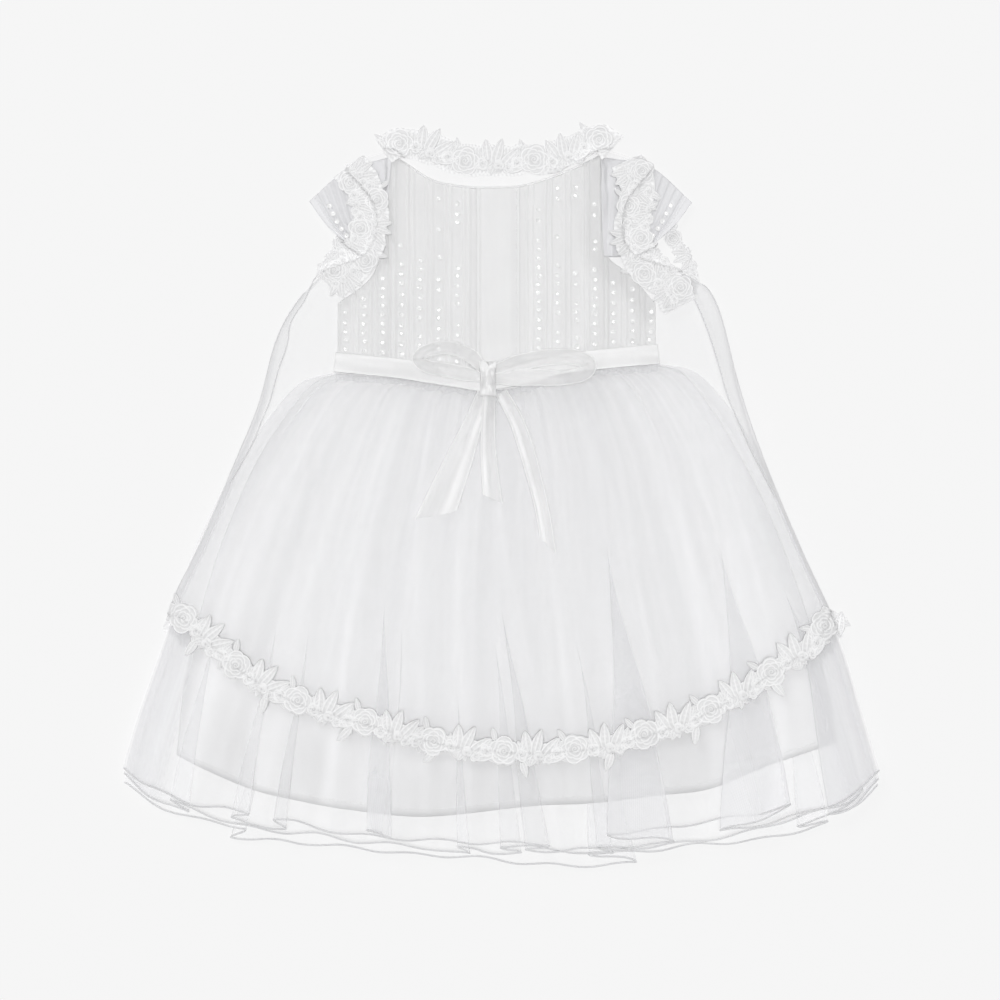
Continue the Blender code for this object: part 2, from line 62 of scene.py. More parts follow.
# Outlines in millimetres on the table: points (x, y) from the viewer's left to right or from top to bottom
NECKLINE = [(-83, 256), (-71, 249), (-52, 237), (-37, 233), (-18, 231), (0, 231), (15, 232), (34, 237), (57, 246),
            (78, 256)]
WAIST = [(-123, 91), (-75, 87), (-45, 83), (-12, 79), (10, 80), (45, 90), (75, 95), (118, 98)]
ARMHOLE_LEFT = [(-83, 256), (-84, 228), (-86, 198), (-96, 164), (-122, 143)]
ARMHOLE_RIGHT = [(78, 256), (77, 220), (78, 183), (98, 164), (117, 143)]
SKIRT_LEFT = [(-123, 91), (-150, 83), (-172, 59), (-192, 29), (-208, 3), (-232, -50), (-251, -110), (-270, -166),
              (-282, -209)]
SKIRT_RIGHT = [(118, 98), (150, 89), (184, 48), (201, 10), (225, -46), (254, -110), (270, -162), (284, -210)]
HEM = [(-282, -209), (-262, -224), (-232, -236), (-195, -246), (-150, -253), (-75, -262), (15, -266), (98, -265),
       (150, -258), (195, -250), (233, -240), (263, -230), (284, -210)]
LINING_LEFT = [(-123, 91), (-146, 79), (-184, 25), (-215, -50), (-236, -130), (-244, -195)]
LINING_RIGHT = [(118, 98), (146, 84), (192, 10), (225, -70), (246, -140), (254, -186)]
LINING_HEM = [(-244, -195), (-223, -206), (-185, -222), (-147, -231), (-112, -237), (-55, -242), (25, -234),
              (68, -232), (121, -226), (158, -221), (201, -204), (254, -186)]
OVERLAY_TOP = [(-116, 247), (-84, 257), (-71, 248), (-52, 236), (-18, 230), (15, 231), (34, 236), (57, 245),
               (79, 257), (114, 247)]
OVERLAY_BACK_TOP = [(-116, 247), (-84, 258), (-67, 266), (-45, 260), (-20, 250), (0, 247), (25, 251), (48, 260),
                    (64, 264), (79, 258), (114, 247)]
OVERLAY_LEFT = [(-116, 247), (-92, 216), (-98, 180), (-136, 162), (-165, 123), (-181, 66), (-200, 20),
                (-223, -34), (-242, -72), (-249, -88)]
OVERLAY_RIGHT = [(114, 247), (92, 216), (97, 180), (143, 163), (163, 142), (179, 81), (194, 35), (225, -39),
                 (247, -86)]
OVERLAY_HEM = [(-249, -88), (-232, -95), (-195, -129), (-150, -155), (-86, -174), (-30, -188), (30, -192),
               (90, -184), (150, -164), (203, -132), (235, -109), (247, -86)]
SLEEVES = {
    "left": {
        "seam": [(-84, 253), (-87, 220), (-91, 178)],
        "cuff": [(-143, 220), (-128, 200), (-111, 186)],
        "top": [(-84, 253), (-116, 243), (-143, 220)],
        "under": [(-91, 178), (-101, 180), (-111, 186)],
    },
    "right": {
        "seam": [(79, 253), (79, 215), (81, 178)],
        "cuff": [(144, 219), (130, 201), (113, 186)],
        "top": [(79, 253), (113, 246), (144, 219)],
        "under": [(81, 178), (96, 179), (113, 186)],
    },
}
BELT_LEFT = [(-124, 99), (-75, 94), (-45, 89), (-12, 84)]
BELT_RIGHT = [(-12, 84.3), (10, 88), (45, 97), (75, 101), (119, 105)]
BELT_FAR = [(-124, 99), (-75, 94), (-45, 89), (45, 97), (75, 101), (119, 105)]
TAIL_WIDE = [(-12, 76), (-22, 48), (-37, 10), (-51, -24)]
TAIL_CENTRE = [(-8, 76), (-9, 40), (-7, 10), (-5, -8)]
TAIL_RIGHT = [(1, 76), (15, 48), (30, -5), (37, -46)]
KNOT_CENTRE = (-9, 86)
KNOT_SIZE = (13, 26)
LACE_PATHS = {
    "neck": [(-87, 257), (-78, 263), (-67, 264), (-52, 260), (-30, 252), (-3, 251), (23, 252), (39, 253),
             (54, 259), (68, 266), (78, 266), (85, 260)],
    "armhole_left": [(-114, 246), (-101, 228), (-97, 209), (-100, 190), (-111, 172), (-128, 156)],
    "armhole_right": [(95, 250), (104, 231), (102, 213), (99, 194), (108, 174), (126, 158), (135, 141)],
    "armhole_right_far": [(127, 201), (131, 190), (142, 172), (143, 150)],
    "armhole_left_far": [(-116, 198), (-120, 186), (-127, 174), (-135, 166)],
    "hem_near": OVERLAY_HEM,
    "hem_far": OVERLAY_HEM,
}

# The solids were moved so that the dress is centred over the origin. Two edges known on the table say how far.
PLACKET_LEFT, PLACKET_RIGHT = -18, 15
SLEEVE_PEAK = 253
SHIFT = np.array([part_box("placket")[0].x - PLACKET_LEFT * MM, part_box("sleeve_left_near")[1].y - SLEEVE_PEAK * MM])

# Folds of each net: share across the waist, share across the hem, width at the hem in mm, share of the way down
# at which the fold begins to double over, the side to which it is laid, the step in its hem in mm, and how many
# more layers of gathers it holds
NET_FOLDS = [
    (0.154, 0.164, 11, 0.45, 1, -6, 0.5), (0.20, 0.215, 8, 0.45, 1, 6, 0.5), (0.30, 0.339, 19, 0.35, 1, 3, 1.8),
    (0.33, 0.366, 11, 0.40, -1, -3, 0.5), (0.465, 0.544, 15, 0.35, -1, -4, 0.6),
    (0.70, 0.675, 41, 0.20, 1, 8, 3.6), (0.92, 0.823, 45, 0.25, -1, -6, 4.2),
]
INNER_FOLDS = [
    (0.045, 0.083, 12, 0.5, -1, 4, 0.5), (0.40, 0.45, 8, 0.6, 1, 5, 0.3), (0.47, 0.51, 13, 0.45, 1, 4, 0.4),
    (0.60, 0.63, 10, 0.45, -1, 5, 0.4), (0.96, 0.945, 24, 0.40, 1, -6, 1.0),
]
FAR_FOLDS = [
    (0.22, 0.160, 10, 0.6, 1, -8, 0.2), (0.60, 0.640, 30, 0.6, -1, 9, 0.6), (0.95, 0.90, 20, 0.6, 1, 5, 0.5),
]
# Ridges down the outer net, painted lighter as if light falls on them: share across the waist, share across the hem,
# width in mm
NET_RIDGES = [
    (0.06, 0.075, 6), (0.25, 0.275, 6), (0.41, 0.455, 5), (0.465, 0.575, 5), (0.745, 0.705, 6), (0.965, 0.865, 6),
    (0.33, 0.40, 9), (0.58, 0.60, 9), (0.86, 0.77, 8),
]
# Where the lining lies in the shade of the folds above: x, y and reach both ways in mm
LINING_SHADES = [(-33, -228, 42, 26), (184, -215, 26, 42), (-141, -208, 12, 34), (135, -203, 20, 24),
                 (-195, -205, 9, 28), (60, -222, 30, 16)]
# Inner lines of the overlay's turned-over sides
TURNED_LEFT = [(-136, 168), (-142, 156), (-147, 145), (-157, 129), (-160, 111), (-166, 93), (-172, 70),
               (-178, 55), (-184, 40), (-192, 25), (-202, 9)]
TURNED_RIGHT = [(128, 168), (140, 156), (148, 142), (156, 122), (164, 96), (170, 74), (180, 50), (190, 28),
                (206, -2)]

# Every cloth's colour is multiplied by these at tone 0 and tone 1; at the tone of rest it is as given. The tone holds
# painted light and shade as well as a random unevenness
SHADES = (0.86, 1.10)
REST = 0.58

# Thickness of the close-woven cloths and of the ribbon's and seams' rolled edges
CREPE_WALL = 0.4 * MM
SLEEVE_WALL = 0.35 * MM
SATIN_WALL = 0.3 * MM
BELT_WALL = 0.25 * MM
RIBBON_EDGE = 0.14 * MM
SEAM_CORD = 0.32 * MM
NECK_BINDING = 0.8 * MM

SHEETS = {}
MATERIALS = {}


def sizes():
    return bpy.context.scene.dress_sizes


def colours():
    return bpy.context.scene.dress_colours


def light():
    return bpy.context.scene.dress_light


def smooth(x):
    """0 below 0, 1 above 1 and a soft step between."""
    x = np.clip(x, 0, 1)
    return x * x * (3 - 2 * x)


def bump(x):
    """A soft ridge: 1 at 0, and 0 from 1 on either side."""
    return np.where(np.abs(x) < 1, 0.5 + 0.5 * np.cos(np.pi * x), 0)


def noise(x, seed):
    """Smooth random values from -1 to 1 along a line, one for each whole step."""
    values = np.random.default_rng(seed).uniform(-1, 1, 4096)
    x = np.asarray(x, float) + 1000
    low = np.floor(x).astype(int)
    share = smooth(x - low)
    return values[low % 4096] * (1 - share) + values[(low + 1) % 4096] * share


def noise2(x, y, seed):
    """Smooth random values from -1 to 1 over a plane, one for each whole step."""
    values = np.random.default_rng(seed).uniform(-1, 1, (256, 256))
    x, y = np.asarray(x, float) + 128, np.asarray(y, float) + 128
    i, j = np.floor(x).astype(int), np.floor(y).astype(int)
    s, t = smooth(x - i), smooth(y - j)
    i, j = i % 255, j % 255
    near = values[i, j] * (1 - s) + values[i + 1, j] * s
    far = values[i, j + 1] * (1 - s) + values[i + 1, j + 1] * s
    return near * (1 - t) + far * t


def distances(line):
    """How far along a line each of its points lies."""
    return np.concatenate([[0], np.cumsum(np.linalg.norm(np.diff(line, axis=0), axis=1))])


def on_table(plan):
    """Places in the frame as the outlines give them: x and y in millimetres from the photograph's middle."""
    return (plan[..., 0] - SHIFT[0]) / MM, (plan[..., 1] - SHIFT[1]) / MM


def grid_shares(rows, columns):
    """Shares from 0 to 1 down and across a grid, as a column and a row."""
    return np.linspace(0, 1, rows)[:, None], np.linspace(0, 1, columns)[None, :]


def curve(rows, steps):
    """Places along a smooth curve through points in millimetres; steps is a count or an array of shares."""
    points = np.array(rows, float) * MM + SHIFT
    ends = np.vstack([2 * points[0] - points[1], points, 2 * points[-1] - points[-2]])
    fine = []
    for before, start, end, after in zip(ends, ends[1:], ends[2:], ends[3:]):
        for t in np.linspace(0, 1, 24, endpoint=False):
            fine.append(0.5 * (2 * start + (end - before) * t
                               + (2 * before - 5 * start + 4 * end - after) * t ** 2
                               + (3 * start - before - 3 * end + after) * t ** 3))
    fine = np.array(fine + [points[-1]])
    run = distances(fine)
    shares = np.linspace(0, 1, steps) if np.isscalar(steps) else np.asarray(steps)
    return np.column_stack([np.interp(shares * run[-1], run, fine[:, axis]) for axis in (0, 1)])


def patch(top, bottom, left, right, down, across):
    """A grid of places between four edges that share their corners, at shares down and across."""
    down, across = np.ravel(down), np.ravel(across)
    top, bottom, left, right = curve(top, across), curve(bottom, across), curve(left, down), curve(right, down)
    u, v = across[None, :, None], down[:, None, None]
    ruled = (1 - v) * top[None] + v * bottom[None] + (1 - u) * left[:, None] + u * right[:, None]
    corners = (1 - v) * ((1 - u) * top[0] + u * top[-1]) + v * ((1 - u) * bottom[0] + u * bottom[-1])
    return ruled - corners


def look_up(grid, u, v):
    """Read a grid of places at shares u across and v down, both arrays of one shape."""
    rows, columns = grid.shape[:2]
    x = np.clip(u, 0, 1) * (columns - 1)
    y = np.clip(v, 0, 1) * (rows - 1)
    i, j = np.minimum(x.astype(int), columns - 2), np.minimum(y.astype(int), rows - 2)
    s, t = (x - i)[..., None], (y - j)[..., None]
    return (grid[j, i] * (1 - s) * (1 - t) + grid[j, i + 1] * s * (1 - t) + grid[j + 1, i] * (1 - s) * t
            + grid[j + 1, i + 1] * s * t)


def along(path):
    """Unit steps along a path on the table, and the way to its left."""
    way = np.gradient(path, axis=0)
    way /= np.linalg.norm(way, axis=1, keepdims=True)
    return way, np.column_stack([-way[:, 1], way[:, 0]])


def band(path, low, high, count, columns):
    """A grid along a path: rows run along it and columns across it, from low to its right to high to its left."""
    centre = curve(path, count)
    side = along(centre)[1]
    low, high = (np.broadcast_to(w, count)[:, None, None] for w in (low, high))
    across = np.linspace(0, 1, columns)[None, :, None]
    return centre[:, None] + side[:, None] * (-low * (1 - across) + high * across)


def soften(height, passes):
    """Even out a grid of heights and keep its edges."""
    for _ in range(passes):
        padded = np.pad(height, 1, mode="edge")
        height = (padded[:-2, 1:-1] + padded[2:, 1:-1] + padded[1:-1, :-2] + padded[1:-1, 2:] + 2 * height) / 6
    return height


class Form:
    """The solid of one CAD node, whose faces can be read at places on the table."""

    def __init__(self, node):
        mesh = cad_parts[node].data
        self.tree = BVHTree.FromPolygons([v.co for v in mesh.vertices], [p.vertices for p in mesh.polygons])
        low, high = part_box(node)
        self.middle = (low.z + high.z) / 2

    def read(self, plan, side):
        """Heights of the upper face for side 1 and the lower one for side -1, outside it of the nearest point."""
        found = []
        way = Vector((0, 0, -side))
        for x, y in plan.reshape(-1, 2):
            hit = self.tree.ray_cast(Vector((x, y, side)), way)[0]
            if hit is None:
                hit = self.tree.find_nearest(Vector((x, y, self.middle)))[0]
            found.append(hit.z)
        return np.array(found).reshape(plan.shape[:-1])

    def centre(self, plan, passes=4):
        return soften((self.read(plan, 1) + self.read(plan, -1)) / 2, passes)

    def bottom(self, plan, passes=4):
        return soften(self.read(plan, -1), passes)


class Pile:
    """The top of all the cloth laid so far, on a raster."""

    CELL = 1.0 * MM
    HALF = 330 * MM
    GAP = 0.16 * MM

    def __init__(self):
        cells = int(2 * self.HALF / self.CELL)
        self.top = np.zeros((cells, cells))

    def cells(self, plan):
        index = ((plan + self.HALF) / self.CELL).astype(int)
        return index[..., 0], index[..., 1]

    def read(self, plan):
        i, j = self.cells(plan)
        return np.maximum.reduce([self.top[i + a, j + b] for a in (-1, 0, 1) for b in (-1, 0, 1)])

    def even(self, plan, reach):
        """The top's height evened out over the given reach in cells."""
        raster = self.top
        for axis in (0, 1):
            for _ in range(2):
                total = sum(np.roll(raster, step, axis) for step in range(-reach, reach + 1))
                raster = total / (2 * reach + 1)
        i, j = self.cells(plan)
        return raster[i, j]

    def clear(self, points, gap=GAP):
        """Lift a grid of points where it would lie in what is below, and its surroundings a little too."""
        short = np.clip(self.read(points[..., :2]) + gap - points[..., 2], 0, None)
        lift = short
        for _ in range(5):
            lift = np.maximum(short, soften(lift, 1))
        points = points.copy()
        points[..., 2] += lift
        return points

    def add(self, points):
        fine = points
        for axis in (0, 1):
            length = np.linalg.norm(np.diff(points[..., :2], axis=axis), axis=-1).max()
            times = max(1, math.ceil(2 * length / self.CELL))
            count = fine.shape[axis]
            at = np.linspace(0, count - 1, (count - 1) * times + 1)
            low = np.minimum(at.astype(int), count - 2)
            share = (at - low).reshape([-1, 1, 1] if axis == 0 else [1, -1, 1])
            fine = np.take(fine, low, axis) * (1 - share) + np.take(fine, low + 1, axis) * share
        i, j = self.cells(fine[..., :2])
        np.maximum.at(self.top, (i, j), fine[..., 2])


PILE = Pile()


def add_node(tree, kind, chosen=None, inputs=None):
    """A new node with its chosen settings, whose inputs are given as values or as sockets to link from."""
    made = tree.nodes.new(kind)
    for name, value in (chosen or {}).items():
        setattr(made, name, value)
    for name, value in (inputs or {}).items():
        value = getattr(value, "socket", value)
        if isinstance(value, bpy.types.NodeSocket):
            tree.links.new(value, made.inputs[name])
        else:
            made.inputs[name].default_value = value
    return made


class Value:
    """A number socket of a shader tree. Arithmetic on it adds Math nodes."""

    def __init__(self, finish, socket):
        self.finish, self.socket = finish, socket

    def math(self, operation, *values):
        inputs = dict(enumerate((self, *values)))
        return self.finish.node("ShaderNodeMath", {"operation": operation}, inputs)

    def __add__(self, other):
        return self.math("ADD", other)

    def __mul__(self, other):
        return self.math("MULTIPLY", other)

    def __sub__(self, other):
        return self.math("SUBTRACT", other)

    def __rsub__(self, other):
        return self.math("MULTIPLY", -1.0) + other

    def __rpow__(self, base):
        return (self * math.log(base)).math("EXPONENT")

    __radd__, __rmul__ = __add__, __mul__

    def cosine(self):
        return self.math("COSINE")

    def between(self, low, high):
        """A soft step from 0 at low to 1 at high."""
        return self.finish.node("ShaderNodeMapRange", {"interpolation_type": "SMOOTHSTEP"},
                                {"Value": self, "From Min": low, "From Max": high})


class Finish:
    """One material: a Principled shader and the nodes that feed it."""

    def __init__(self, name, colour, roughness, **constants):
        self.material = bpy.data.materials.new(name)
        self.material.use_nodes = True
        self.tree = self.material.node_tree
        self.shader = self.tree.nodes["Principled BSDF"]
        self.colour = tuple(colour)
        self.set("Base Color", (*colour, 1))
        self.set("Roughness", roughness)
        for socket, value in constants.items():
            self.set(socket.replace("_", " ").title().replace("Ior", "IOR"), value)
        MATERIALS[name] = self.material

    def set(self, socket, value):
        self.shader.inputs[socket].default_value = value

    def node(self, kind, chosen=None, inputs=None, output=0):
        return Value(self, add_node(self.tree, kind, chosen, inputs).outputs[output])

    def feed(self, socket, value):
        self.tree.links.new(value.socket, self.shader.inputs[socket])

    def uv(self):
        """The cloth's own places across and down it, in metres."""
        place = self.node("ShaderNodeUVMap", {"uv_map": "cloth"})
        parts = self.node("ShaderNodeSeparateXYZ", {}, {0: place})
        return parts, Value(self, parts.socket.node.outputs[1])

    def vector(self, x, y, z=0.0):
        return self.node("ShaderNodeCombineXYZ", {}, {0: x, 1: y, 2: z})

    def noise(self, vector, scale, detail=2.0):
        return self.node("ShaderNodeTexNoise", {"noise_dimensions": "3D"},
                         {"Vector": vector, "Scale": scale, "Detail": detail})

    def body(self):
        return self.node("ShaderNodeTexCoord", output=3)

    def attribute(self, name):
        return self.node("ShaderNodeAttribute", {"attribute_name": name}, output=2)

    def tint(self, share, dark, light):
        """The base colour, from dark to light times itself as share goes from 0 to 1."""
        colours = [(*(c * times for c in self.colour), 1) for times in (dark, light)]
        inputs = {0: share, 6: colours[0], 7: colours[1]}
        self.feed("Base Color", self.node("ShaderNodeMix", {"data_type": "RGBA"}, inputs, output=2))

    def toned(self, unevenness, amount):
        """The base colour times the painted light and shade held in the tone attribute, a little uneven."""
        self.tint(self.attribute("tone") + (unevenness - 0.5) * amount, *SHADES)

    def relief(self, height, distance, strength=1.0):
        self.feed("Normal", self.node("ShaderNodeBump", {}, {"Height": height, "Distance": distance,
                                                             "Strength": strength}))


def hex_net(u, v, pitch):
    """Threads of a six-sided net: near 1 on the threads and near 0 in the holes."""
    turn = 2 * math.pi / (pitch * math.sqrt(3) / 2)
    waves = [(u * (turn * math.cos(angle)) + v * (turn * math.sin(angle))).cosine()
             for angle in (0, math.pi / 3, -math.pi / 3)]
    total = waves[0] + waves[1] + waves[2]
    return 1 - total.between(-1.2, 0.9)


def weave(u, v, pitch):
    """Over and under of a plain weave, from -1 to 1."""
    turn = 2 * math.pi / pitch
    return (u * turn).cosine() * (v * turn).cosine()


def net_finish(name, colour, opacity):
    """Tulle: a six-sided net whose threads lie closer where it is gathered or folded."""
    made = Finish(name, colour, 0.65, sheen_weight=0.15, sheen_roughness=0.5, specular_ior_level=0.3)
    u, v = made.uv()
    threads = hex_net(u, v, sizes().net_pitch)
    streak = made.noise(made.vector(u * 45, v * 2.5), 1.0, 1.0)
    cover = 1 - (1 - opacity) ** (made.attribute("layers") * (streak * 0.4 + 0.8))
    made.feed("Alpha", (cover * (threads * 0.12 + 0.94)).math("MINIMUM", 0.97))
    made.toned(streak, 0.15)


def organza_finish(name, colour, opacity, roughness=0.38):
    """Organza: a fine even weave with a slight shine, denser in its creases and folds."""
    made = Finish(name, colour, roughness, sheen_weight=0.1, sheen_roughness=0.35, specular_ior_level=0.4)
    u, v = made.uv()
    threads = weave(u, v, 0.55 * MM)
    slub = made.noise(made.vector(u * 300, v * 12), 1.0, 1.0)
    cover = 1 - (1 - opacity) ** (made.attribute("layers") * (slub * 0.2 + 0.9))
    made.feed("Alpha", (cover + threads * 0.02).math("MINIMUM", 0.99).math("MAXIMUM", 0.0))
    made.relief(threads, 0.05 * MM, 0.3)
    made.toned(slub, 0.1)


def woven_finish(name, colour, roughness, pitch, **constants):
    """Close woven cloth with its threads in relief and a faint unevenness of tone."""
    made = Finish(name, colour, roughness, **constants)
    u, v = made.uv()
    threads = weave(u, v, pitch)
    slub = made.noise(made.vector(u * 60, v * 600), 1.0, 1.0)
    made.relief(threads * 0.5 + slub, 0.08 * MM, 0.5)
    made.toned(made.noise(made.vector(u * 40, v * 40), 1.0, 2.0), 0.2)


THREAD_PITCH = 0.7 * MM


def thread_finish(name, colour):
    """Satin stitch: threads laid side by side across each petal and leaf, with painted light: lightest where they
    stand highest.
    """
    made = Finish(name, colour, 0.42, sheen_weight=0.2, sheen_roughness=0.4, specular_ior_level=0.45)
    along_stitch = made.uv()[1]
    threads = (along_stitch * (2 * math.pi / THREAD_PITCH)).cosine() * 0.5 + 0.5
    patchy = made.noise(made.body(), 400.0, 1.0)
    made.relief(threads + patchy, 0.1 * MM, 0.5)
    # Painted light: stitches are coloured lighter the higher they stand and on each thread's crest; the patches are
    # random.
    height = made.attribute("tone").between(0.05, 0.95)
    made.tint(height * 0.75 + threads * 0.15 + patchy * 0.10, 0.82, 1.09)


def cord_finish(name, colour):
    """A fine rolled hem or cord with its thread wound round it."""
    made = Finish(name, colour, 0.5, sheen_weight=0.2, sheen_roughness=0.4)
    patchy = made.noise(made.body(), 500.0, 2.0)
    made.relief(patchy, 0.1 * MM, 0.6)
    made.tint(patchy, 0.92, 1.06)


def make_materials():
    """The finishes of all the cloths, threads and sequins, and of the table."""
    s, c = sizes(), colours()
    net_finish("outer tulle", c.tulle, s.tulle_opacity)
    net_finish("inner tulle", c.tulle, s.tulle_opacity * 0.9)
    organza_finish("overlay organza", c.organza, s.organza_opacity)
    organza_finish("ribbon organza", c.ribbon, s.ribbon_opacity, 0.3)
    woven_finish("belt satin", c.belt, 0.34, 0.5 * MM, sheen_weight=0.15, anisotropic=0.4)
    woven_finish("bodice crepe", c.bodice, 0.6, 0.7 * MM)
    woven_finish("sleeve crepe", c.sleeve, 0.6, 0.7 * MM)
    woven_finish("lining satin", c.lining, 0.4, 0.6 * MM, sheen_weight=0.1)
    thread_finish("lace thread", c.lace)
    cord_finish("hem cord", c.cord)
    cord_finish("sewing thread", c.lace)
    cord_finish("ribbon edge", c.ribbon)
    sequin = Finish("clear sequin", c.sequin, 0.16, specular_ior_level=0.7, coat_weight=0.6, coat_roughness=0.08)
    speck = sequin.noise(sequin.body(), 260.0, 1.0)
    sequin.tint(speck, 0.97, 1.01)
    sequin.feed("Roughness", speck * 0.2 + 0.08)
    Finish("pale table", c.table, 0.8, specular_ior_level=0.1, emission_color=(1, 1, 1, 1),
           emission_strength=light().table_glow)


def lay_uvs(mesh, uvs):
    """Give each corner of a mesh its point's place on the cloth."""
    corner = np.zeros(len(mesh.loops), np.int32)
    mesh.loops.foreach_get("vertex_index", corner)
    layer = mesh.uv_layers.new(name="cloth")
    layer.data.foreach_set("uv", np.asarray(uvs, np.float32)[corner].ravel())


def mesh_object(name, verts, faces, uvs=None, density=None, tone=None):
    """A mesh with each point's place on its cloth as a UV map, how densely sheer cloth lies and, from 0 to 1, its
    tone: painted light and shade with a random unevenness, and for lace the height of the stitches, which are painted
    lighter the higher they stand."""
    mesh = bpy.data.meshes.new(name)
    mesh.from_pydata(np.asarray(verts).tolist(), [], np.asarray(faces).tolist())
    if uvs is not None:
        lay_uvs(mesh, uvs)
    for label, values in (("layers", density), ("tone", tone)):
        if values is not None:
            held = mesh.attributes.new(label, "FLOAT", "POINT")
            held.data.foreach_set("value", np.asarray(values, np.float32).ravel())
    mesh.shade_smooth()
    mesh.update()
    made = bpy.data.objects.new(name, mesh)
    bpy.context.scene.collection.objects.link(made)
    return made


def grid_faces(rows, columns, first=0):
    """Quads of a grid whose points run row by row. They face up where rows run down and columns to the right."""
    j, i = np.meshgrid(np.arange(rows - 1), np.arange(columns - 1), indexing="ij")
    a = (j * columns + i).ravel() + first
    return np.column_stack([a, a + columns, a + columns + 1, a + 1])


def arc(points, axis):
    """How far along the cloth each point of a grid lies, across it for axis 1 and down it for axis 0."""
    steps = np.linalg.norm(np.diff(points, axis=axis), axis=-1)
    total = np.cumsum(steps, axis=axis)
    start = np.zeros_like(np.take(total, [0], axis))
    return np.concatenate([start, total], axis=axis)


def grid_area(points):
    """The area of a grid of points, two triangles a cell."""
    a, b, c, d = points[:-1, :-1], points[:-1, 1:], points[1:, 1:], points[1:, :-1]
    first = np.linalg.norm(np.cross(c - a, b - a), axis=-1)
    second = np.linalg.norm(np.cross(d - a, c - a), axis=-1)
    return float((first + second).sum() / 2)


def finish_piece(made, material, nodes=()):
    """Give a piece its material, hang it from the root body, and hide the solids that it stands for."""
    made.data.materials.clear()
    made.data.materials.append(MATERIALS[material])
    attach(made, "root")
    if nodes:
        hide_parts(*nodes)


def cloth(name, points, material, nodes=(), held="laid", rests_on=(), thickness=0.0, density=1.0, tone=REST,
          uvs=None):
    """A panel of cloth from a grid of points. Close woven cloth gets a wall, sheer cloth stays one surface."""
    rows, columns = points.shape[:2]
    across, down = arc(points, 1), arc(points, 0)
    if uvs is None:
        uvs = np.dstack([across - across[:, [columns // 2]], down])
    faces = grid_faces(rows, columns)
    normal = np.cross(points[0, 1] - points[0, 0], points[1, 0] - points[0, 0])
    if normal[2] > 0:
        faces = faces[:, ::-1]
    even = np.ones(points.shape[:2])
    made = mesh_object(name, points.reshape(-1, 3), faces, uvs.reshape(-1, 2), density * even, tone * even)
    if thickness:
        wall = made.modifiers.new("wall", "SOLIDIFY")
        wall.thickness = thickness
        wall.offset = -1
    finish_piece(made, material, nodes)
    flat = (float(across[:, -1].max()), float(down[-1].max()))
    area = min(grid_area(points), flat[0] * flat[1])
    SHEETS[name] = {"flat": flat, "held": held, "rests_on": list(rests_on), "area": area, "with_pieces": []}
    PILE.add(points)
    return made


def goes_with(piece, carrier):
    """Note that a piece is sewn to a cloth."""
    SHEETS[carrier]["with_pieces"].append(piece.name)


def socket_of(tree, name):
    """The identifier of a tree's named input, by which a modifier sets it."""
    return next(item.identifier for item in tree.interface.items_tree
                if item.item_type == "SOCKET" and item.in_out == "INPUT" and item.name == name)


def new_tree(name, sockets):
    """A Geometry Nodes tree with a mesh in, a mesh out and the named inputs."""
    tree = bpy.data.node_groups.new(name, "GeometryNodeTree")
    tree.interface.new_socket("Mesh", in_out="INPUT", socket_type="NodeSocketGeometry")
    tree.interface.new_socket("Mesh", in_out="OUTPUT", socket_type="NodeSocketGeometry")
    for label, kind in sockets:
        tree.interface.new_socket(label, in_out="INPUT", socket_type=kind)
    return tree


def scatter_tree():
    """Copies of a motif on points, turned and sized as each point says."""
    tree = new_tree("scatter motifs", [("Motif", "NodeSocketObject"), ("Size", "NodeSocketFloat"),
                                       ("Finish", "NodeSocketMaterial")])
    given = add_node(tree, "NodeGroupInput").outputs
    motif = add_node(tree, "GeometryNodeObjectInfo", {}, {"Object": given["Motif"]})
    turn = add_node(tree, "GeometryNodeInputNamedAttribute", {"data_type": "FLOAT_VECTOR"}, {"Name": "turn"})
    size = add_node(tree, "GeometryNodeInputNamedAttribute", {"data_type": "FLOAT"}, {"Name": "size"})
    scale = add_node(tree, "ShaderNodeMath", {"operation": "MULTIPLY"},
                     {0: size.outputs["Attribute"], 1: given["Size"]})
    turned = add_node(tree, "FunctionNodeEulerToRotation", {}, {0: turn.outputs["Attribute"]})
    points = add_node(tree, "GeometryNodeMeshToPoints", {}, {"Mesh": given["Mesh"]})
    placed = add_node(tree, "GeometryNodeInstanceOnPoints", {},
                      {"Points": points.outputs[0], "Instance": motif.outputs["Geometry"],
                       "Rotation": turned.outputs[0], "Scale": scale.outputs[0]})
    real = add_node(tree, "GeometryNodeRealizeInstances", {}, {0: placed.outputs[0]})
    finished = add_node(tree, "GeometryNodeSetMaterial", {}, {0: real.outputs[0], "Material": given["Finish"]})
    add_node(tree, "NodeGroupOutput", {}, {0: finished.outputs[0]})
    return tree


def cord_tree():
    """A round cord of the given radius along each line of edges."""
    tree = new_tree("cord on lines", [("Radius", "NodeSocketFloat"), ("Sides", "NodeSocketInt"),
                                      ("Finish", "NodeSocketMaterial")])
    given = add_node(tree, "NodeGroupInput").outputs
    lines = add_node(tree, "GeometryNodeMeshToCurve", {}, {"Mesh": given["Mesh"]})
    ring = add_node(tree, "GeometryNodeCurvePrimitiveCircle", {"mode": "RADIUS"},
                    {"Radius": given["Radius"], "Resolution": given["Sides"]})
    tube = add_node(tree, "GeometryNodeCurveToMesh", {},
                    {"Curve": lines.outputs[0], "Profile Curve": ring.outputs[0], "Fill Caps": True})
    rounded = add_node(tree, "GeometryNodeSetShadeSmooth", {}, {"Geometry": tube.outputs[0]})
    real = add_node(tree, "GeometryNodeRealizeInstances", {}, {0: rounded.outputs[0]})
    finished = add_node(tree, "GeometryNodeSetMaterial", {}, {0: real.outputs[0], "Material": given["Finish"]})
    add_node(tree, "NodeGroupOutput", {}, {0: finished.outputs[0]})
    return tree


